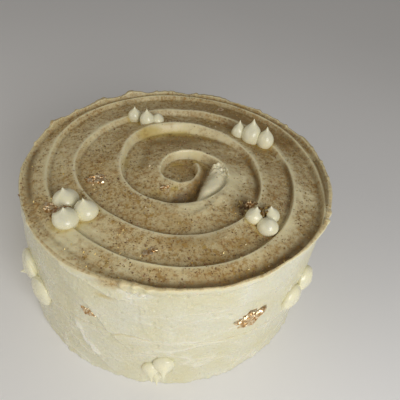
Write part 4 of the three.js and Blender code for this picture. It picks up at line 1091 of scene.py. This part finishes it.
def spread_buttercream():
    """Whipped buttercream spread with a palette knife: satin, faintly translucent, cream that goes a deeper
    yellow in slow patches, with painted highlights, painted yellow shade and brown folds of dust and painted
    shade. On top it carries a fine bronze and rose dust in patches, darkened towards the back right as
    painted shade."""
    m = new_material("whipped_buttercream_spread")
    at = add_node(m, "TexCoord", "Object")
    dust, on_top, deeper, lit, yellow, brown = [
        add_node(m, "Attribute", "Fac", attribute_name=name)
        for name in ("dust", "on_top", "deeper", "lit", "yellow", "brown")]

    # Slow change of the cream, in patches of 25 mm.
    slow = add_node(m, "TexNoise", "Fac", {
        "Vector": at, "Scale": per_metre(25), "Detail": 3.0, "Roughness": 0.55})
    colour = add_node(m, "ValToRGB", "Color", {"Fac": slow},
                      stops=[(0.35, linear(CREAM)), (0.75, linear(CREAM_DEEP))])

    # What lies over the cream, each with its share: first a thin warm haze on the whole top, and the dust
    # itself, darkened towards the right and the back as painted shade.
    tint = add_node(m, "Mix", 2, {0: deeper, 6: linear(DUST_HAZE), 7: linear(DUST_IN_PAINTED_SHADE)}, data_type="RGBA")
    layers = [(on_top, linear(CREAM_DUSTED)), (dust, tint)]

    # Pale and grey specks of the side, about 1.2 mm.
    specks = add_node(m, "TexNoise", "Fac", {
        "Vector": at, "Scale": per_metre(1.25), "Detail": 2.0, "Roughness": 0.7})
    side = add_node(m, "Math", 0, {0: 1.0, 1: on_top}, operation="SUBTRACT")
    for low, high, code in ((0.62, 0.7, SPECK_PALE), (0.34, 0.27, SPECK_GREY)):
        seen = add_node(m, "MapRange", "Result", {
            "Value": specks, "From Min": low, "From Max": high, "To Max": 0.55})
        layers.append((add_node(m, "Math", 0, {0: seen, 1: side}, operation="MULTIPLY"), linear(code)))

    # Painted highlight, paler than the rest, on the knife's ridges, crests and crumbs and on the tongue; then
    # painted yellow shade with painted glow, and the brown folds of dust and painted shade.
    ridge = add_node(m, "Mix", 2, {0: on_top, 6: linear(PAINTED_HIGHLIGHT_PALE), 7: linear(PAINTED_HIGHLIGHT_WARM)}, data_type="RGBA")
    for share, strength, over in (
            (lit, 0.7, ridge), (yellow, 0.6, linear(PAINTED_YELLOW_SHADE_AND_GLOW)), (brown, 0.85, linear(BROWN_DUST_AND_PAINTED_SHADE))):
        layers.append((add_node(m, "Math", 0, {0: share, 1: strength}, operation="MULTIPLY"), over))

    # Clots of rose, gold and dark dust: blots of a size in mm, mostly inside patches of 17 mm.
    patches = add_node(m, "TexNoise", "Color", {
        "Vector": at, "Scale": per_metre(16.67), "Detail": 3.0, "Roughness": 0.6})
    patch = add_node(m, "SeparateColor", inputs={"Color": patches})
    lying = add_node(m, "ValToRGB", "Color", {"Fac": dust}, stops=[(0.1, grey(0)), (0.75, grey(1))])
    for channel, size, low, strength, code in (
            ("Red", 2.4, 0.49, 0.72, DUST_ROSE), ("Green", 2.4, 0.53, 0.65, DUST_GOLD),
            ("Blue", 1.3, 0.56, 0.7, DUST_DARK)):
        blots = add_node(m, "TexNoise", "Fac", {
            "Vector": at, "Scale": per_metre(size), "Detail": 3.0, "Roughness": 0.65})
        spots = add_node(m, "ValToRGB", "Color", {"Fac": blots},
                         stops=[(low, grey(0)), (low + 0.1, grey(strength))])
        where = add_node(m, "ValToRGB", "Color", {"Fac": patch.outputs[channel]},
                         stops=[(0.36, grey(0.5)), (0.56, grey(1))])
        cover = add_node(m, "Math", 0, {0: spots, 1: where}, operation="MULTIPLY")
        layers.append((add_node(m, "Math", 0, {0: cover, 1: lying}, operation="MULTIPLY"), linear(code)))
    for share, over in layers:
        colour = add_node(m, "Mix", 2, {0: share, 6: colour, 7: over}, data_type="RGBA")

    # Dust dulls the satin, and the knife leaves its ridges glossier. Grain of 2.4 mm varies both.
    fine = add_node(m, "TexNoise", "Fac", {
        "Vector": at, "Scale": per_metre(2.381), "Detail": 4.0, "Roughness": 0.6})
    rough = add_node(m, "MapRange", "Result", {"Value": dust, "From Max": 0.7, "To Min": 0.3, "To Max": 0.5})
    grain = add_node(m, "MapRange", "Result", {"Value": fine, "To Min": -0.1, "To Max": 0.12})
    gloss = add_node(m, "Math", 0, {0: lit, 1: -0.16}, operation="MULTIPLY")
    for change in (grain, gloss):
        rough = add_node(m, "Math", 0, {0: rough, 1: change}, operation="ADD")

    # Lines along the stroke, and the grain, which stands out more on the less well smoothed side.
    stroke = add_node(m, "UVMap", "UV", uv_map="along_the_stroke")
    along = add_node(m, "Mapping", "Vector", {"Vector": stroke, "Scale": (2.0, 90.0, 1.0)})
    lines = add_node(m, "TexNoise", "Fac", {"Vector": along, "Scale": 1.0, "Detail": 3.0})
    marks = add_node(m, "Bump", "Normal", {"Height": lines, "Strength": 0.35, "Distance": 0.0004})
    strong = add_node(m, "MapRange", "Result", {"Value": on_top, "To Min": 1.0, "To Max": 0.45})
    relief = add_node(m, "Bump", "Normal", {
        "Height": fine, "Strength": strong, "Distance": 0.0006, "Normal": marks})
    return finish_surface(m, {
        "Base Color": colour, "Roughness": rough, "Normal": relief, "IOR": 1.45,
        "Subsurface Weight": 0.2, "Subsurface Radius": (1.0, 0.75, 0.4), "Subsurface Scale": 0.003,
    })


def piped_buttercream():
    """Buttercream piped from a plain nozzle: smooth, wet-looking and a little paler than the coat. Its
    ivory changes over 6 mm and its fine grain is 1.7 mm."""
    m = new_material("whipped_buttercream_piped")
    at = add_node(m, "TexCoord", "Object")
    slow = add_node(m, "TexNoise", "Fac", {"Vector": at, "Scale": per_metre(6.25), "Detail": 2.0})
    ivory = add_node(m, "ValToRGB", "Color", {"Fac": slow},
                     stops=[(0.3, linear(PIPED_IVORY)), (0.8, linear(CREAM))])
    fine = add_node(m, "TexNoise", "Fac", {"Vector": at, "Scale": per_metre(1.667), "Detail": 3.0})
    rough = add_node(m, "MapRange", "Result", {"Value": fine, "To Min": 0.2, "To Max": 0.36})
    relief = add_node(m, "Bump", "Normal", {"Height": fine, "Strength": 0.15, "Distance": 0.0003})
    return finish_surface(m, {
        "Base Color": ivory, "Roughness": rough, "Normal": relief, "IOR": 1.5,
        "Subsurface Weight": 0.12, "Subsurface Radius": (1.0, 0.85, 0.5), "Subsurface Scale": 0.002,
        "Coat Weight": 0.3, "Coat Roughness": 0.22,
    })


def metal_leaf(name, bright, deep, roughness):
    """Beaten leaf or foil glitter: metal that goes from a bright face colour to a deeper one in patches of 2
    mm."""
    m = new_material(name)
    at = add_node(m, "TexCoord", "Object")
    patch = add_node(m, "TexNoise", "Fac", {"Vector": at, "Scale": per_metre(2), "Detail": 2.0})
    face = add_node(m, "ValToRGB", "Color", {"Fac": patch},
                    stops=[(0.38, linear(deep)), (0.6, linear(bright))])
    rough = add_node(m, "MapRange", "Result", {
        "Value": patch, "To Min": roughness, "To Max": roughness + 0.15})
    return finish_surface(m, {"Base Color": face, "Roughness": rough, "Metallic": 1.0})


def matte_grain(name, pale, deep):
    """Dry cocoa-coloured dust grains: matte, from a paler to a deeper brown in patches of 3.3 mm."""
    m = new_material(name)
    at = add_node(m, "TexCoord", "Object")
    patch = add_node(m, "TexNoise", "Fac", {"Vector": at, "Scale": per_metre(3.333), "Detail": 2.0})
    face = add_node(m, "ValToRGB", "Color", {"Fac": patch},
                    stops=[(0.38, linear(deep)), (0.62, linear(pale))])
    return finish_surface(m, {"Base Color": face, "Roughness": 0.7})


def pale_board():
    """Plain matte pale floor, with a slow change over 333 mm."""
    m = new_material("pale_floor")
    at = add_node(m, "TexCoord", "Object")
    slow = add_node(m, "TexNoise", "Fac", {"Vector": at, "Scale": per_metre(333.3), "Detail": 2.0})
    tone = add_node(m, "ValToRGB", "Color", {"Fac": slow},
                    stops=[(0.3, linear(FLOOR_GREY)), (0.7, linear(FLOOR_PALE))])
    return finish_surface(m, {"Base Color": tone, "Roughness": 0.6})


# ---- Assembly ---------------------------------------------------------------------------------
spread = spread_buttercream()
piped = piped_buttercream()
leaf_metal = metal_leaf("beaten_gold_leaf", "F5E2BE", "C2965E", 0.28)
gold_foil = metal_leaf("gold_foil_glitter", "F4DC98", "A8863E", 0.25)
rose_foil = metal_leaf("rose_gold_glitter", "DDB08A", "966844", 0.35)
brown_grain = matte_grain("bronze_brown_dust", "94744A", "6A5030")

coat = build_coat(spread)
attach(coat, "root")
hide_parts("cake")

drop_number = 0
for clusters, frame_of in ((TOP_CLUSTERS, top_frame), (SIDE_CLUSTERS, side_frame)):
    for cluster, drops in clusters.items():
        for number, drop in enumerate(drops, 1):
            build_drop(f"kiss_{cluster}_{number}", drop, frame_of, piped, drop_number)
            drop_number += 1

for number, leaf in enumerate(TOP_LEAVES, 1):
    build_leaf(f"gold_leaf_top_{number}", leaf, top_frame, leaf_metal, number)
for number, leaf in enumerate(SIDE_LEAVES, 1):
    build_leaf(f"gold_leaf_side_{number}", leaf, side_frame, leaf_metal, number + 40)

# Each kind of flake: its name, number, size in mm, material, seed and tilt. Each has patches of its own.
for name, count, size, material, seed, tilt in (
        ("bronze_dust", 2600, 0.7, brown_grain, 5, 0.3), ("rose_gold_glitter", 2000, 0.75, rose_foil, 6, 0.5),
        ("gold_glitter", 1900, 0.75, gold_foil, 7, 0.9), ("pale_gold_glitter", 360, 1.1, leaf_metal, 8, 0.8)):
    patch_seed = 151 + 10 * seed
    scattered_flakes(name, count, size, material, seed, lambda x, y: strewn(x, y, patch_seed), tilt)

scattered_flakes("brown_strands", 150, 1.5, brown_grain, 13, by_right_drops, 0.9, 150)
scattered_flakes("gold_strands", 60, 1.4, gold_foil, 14, by_right_drops, 0.9, 200)
flakes_on_drops("gold_tuft", [("right", 1, 15, 100, 34), ("right", 2, 165, 110, 34)], 1.7, gold_foil, 9)
flakes_on_drops("brown_tuft", [("right", 1, 20, 110, 26), ("right", 2, 160, 120, 26)], 1.6, brown_grain, 10)
flakes_on_drops("copper_scraps", [("left", 3, 130, 90, 22)], 1.8, rose_foil, 11)
flakes_on_drops("pale_scraps", [("left", 3, 130, 90, 18), ("right", 2, 150, 90, 8)], 1.8, leaf_metal, 12)

# ---- Floor, light and camera ------------------------------------------------------------------
FLOOR_REACH, FLOOR_LEVEL = 4000.0, -0.2  # from the middle to an edge, and just under the cake
ROOM_COLOUR, ROOM_STRENGTH = (1.0, 0.97, 0.92, 1.0), 0.25
# The camera: its place in rim radii, its turns in radians, and its focal length as a share of the
# picture's width.
CAMERA_PLACE = np.array([0, -2.1516, 2.5581]) * RIM_RADIUS / 1000
CAMERA_YAW, CAMERA_PITCH, CAMERA_ROLL = 0.0840, 0.7266, 0.1332
FOCAL_SHARE = 420.1 / 400
SENSOR_WIDTH = 36.0

floor_points = np.array([(x, y, FLOOR_LEVEL) for x, y in (
    (-FLOOR_REACH, -FLOOR_REACH), (FLOOR_REACH, -FLOOR_REACH),
    (FLOOR_REACH, FLOOR_REACH), (-FLOOR_REACH, FLOOR_REACH))])
add_mesh("pale_floor", floor_points, np.array([[0, 1, 2, 3]]), pale_board(), smooth=False)


def stand(name, data, place, across, up, back):
    """Adds a lamp or camera at a place in metres, with its three axes."""
    standing = np.eye(4)
    standing[:3, :3] = np.stack([across, up, back], 1)
    standing[:3, 3] = place
    made = bpy.data.objects.new(name, data)
    made.matrix_world = Matrix(standing.tolist())
    bpy.context.collection.objects.link(made)
    return made


def add_softbox(name, place, target, size, power, colour):
    """A square soft light at a place in metres, turned to a target."""
    light = bpy.data.lights.new(name, "AREA")
    light.size, light.energy, light.color = size, power, colour
    back = np.array(place, float) - np.array(target, float)
    back /= np.linalg.norm(back)
    across = np.cross([0, 0, 1], back)
    across /= np.linalg.norm(across)
    stand(name, light, place, across, np.cross(back, across), back)


add_softbox("front_softbox", (0.245, -0.51, 0.34), (0, 0, 0.06), 0.3, 2.0, (1.0, 1.0, 1.0))
add_softbox("left_reflector", (-0.6, -0.22, 0.34), (0, 0, 0.05), 0.5, 0.8, (1.0, 0.95, 0.86))

world = bpy.data.worlds.new("soft_room")
world.use_nodes = True
background = world.node_tree.nodes["Background"]
background.inputs["Color"].default_value = ROOM_COLOUR
background.inputs["Strength"].default_value = ROOM_STRENGTH
bpy.context.scene.world = world

sin_yaw, cos_yaw = math.sin(CAMERA_YAW), math.cos(CAMERA_YAW)
sin_pitch, cos_pitch = math.sin(CAMERA_PITCH), math.cos(CAMERA_PITCH)
forward = np.array([sin_yaw * cos_pitch, cos_yaw * cos_pitch, -sin_pitch])
level_right = np.array([cos_yaw, -sin_yaw, 0])
level_up = np.cross(level_right, forward)
right = math.cos(CAMERA_ROLL) * level_right + math.sin(CAMERA_ROLL) * level_up
up = -math.sin(CAMERA_ROLL) * level_right + math.cos(CAMERA_ROLL) * level_up
lens = bpy.data.cameras.new("view_from_above_the_front")
lens.sensor_width = SENSOR_WIDTH
lens.lens = SENSOR_WIDTH * FOCAL_SHARE
lens.clip_start, lens.clip_end = 0.01, 50
bpy.context.scene.camera = stand("view_from_above_the_front", lens, CAMERA_PLACE, right, up, -forward)
bpy.context.scene.view_settings.view_transform = "Standard"
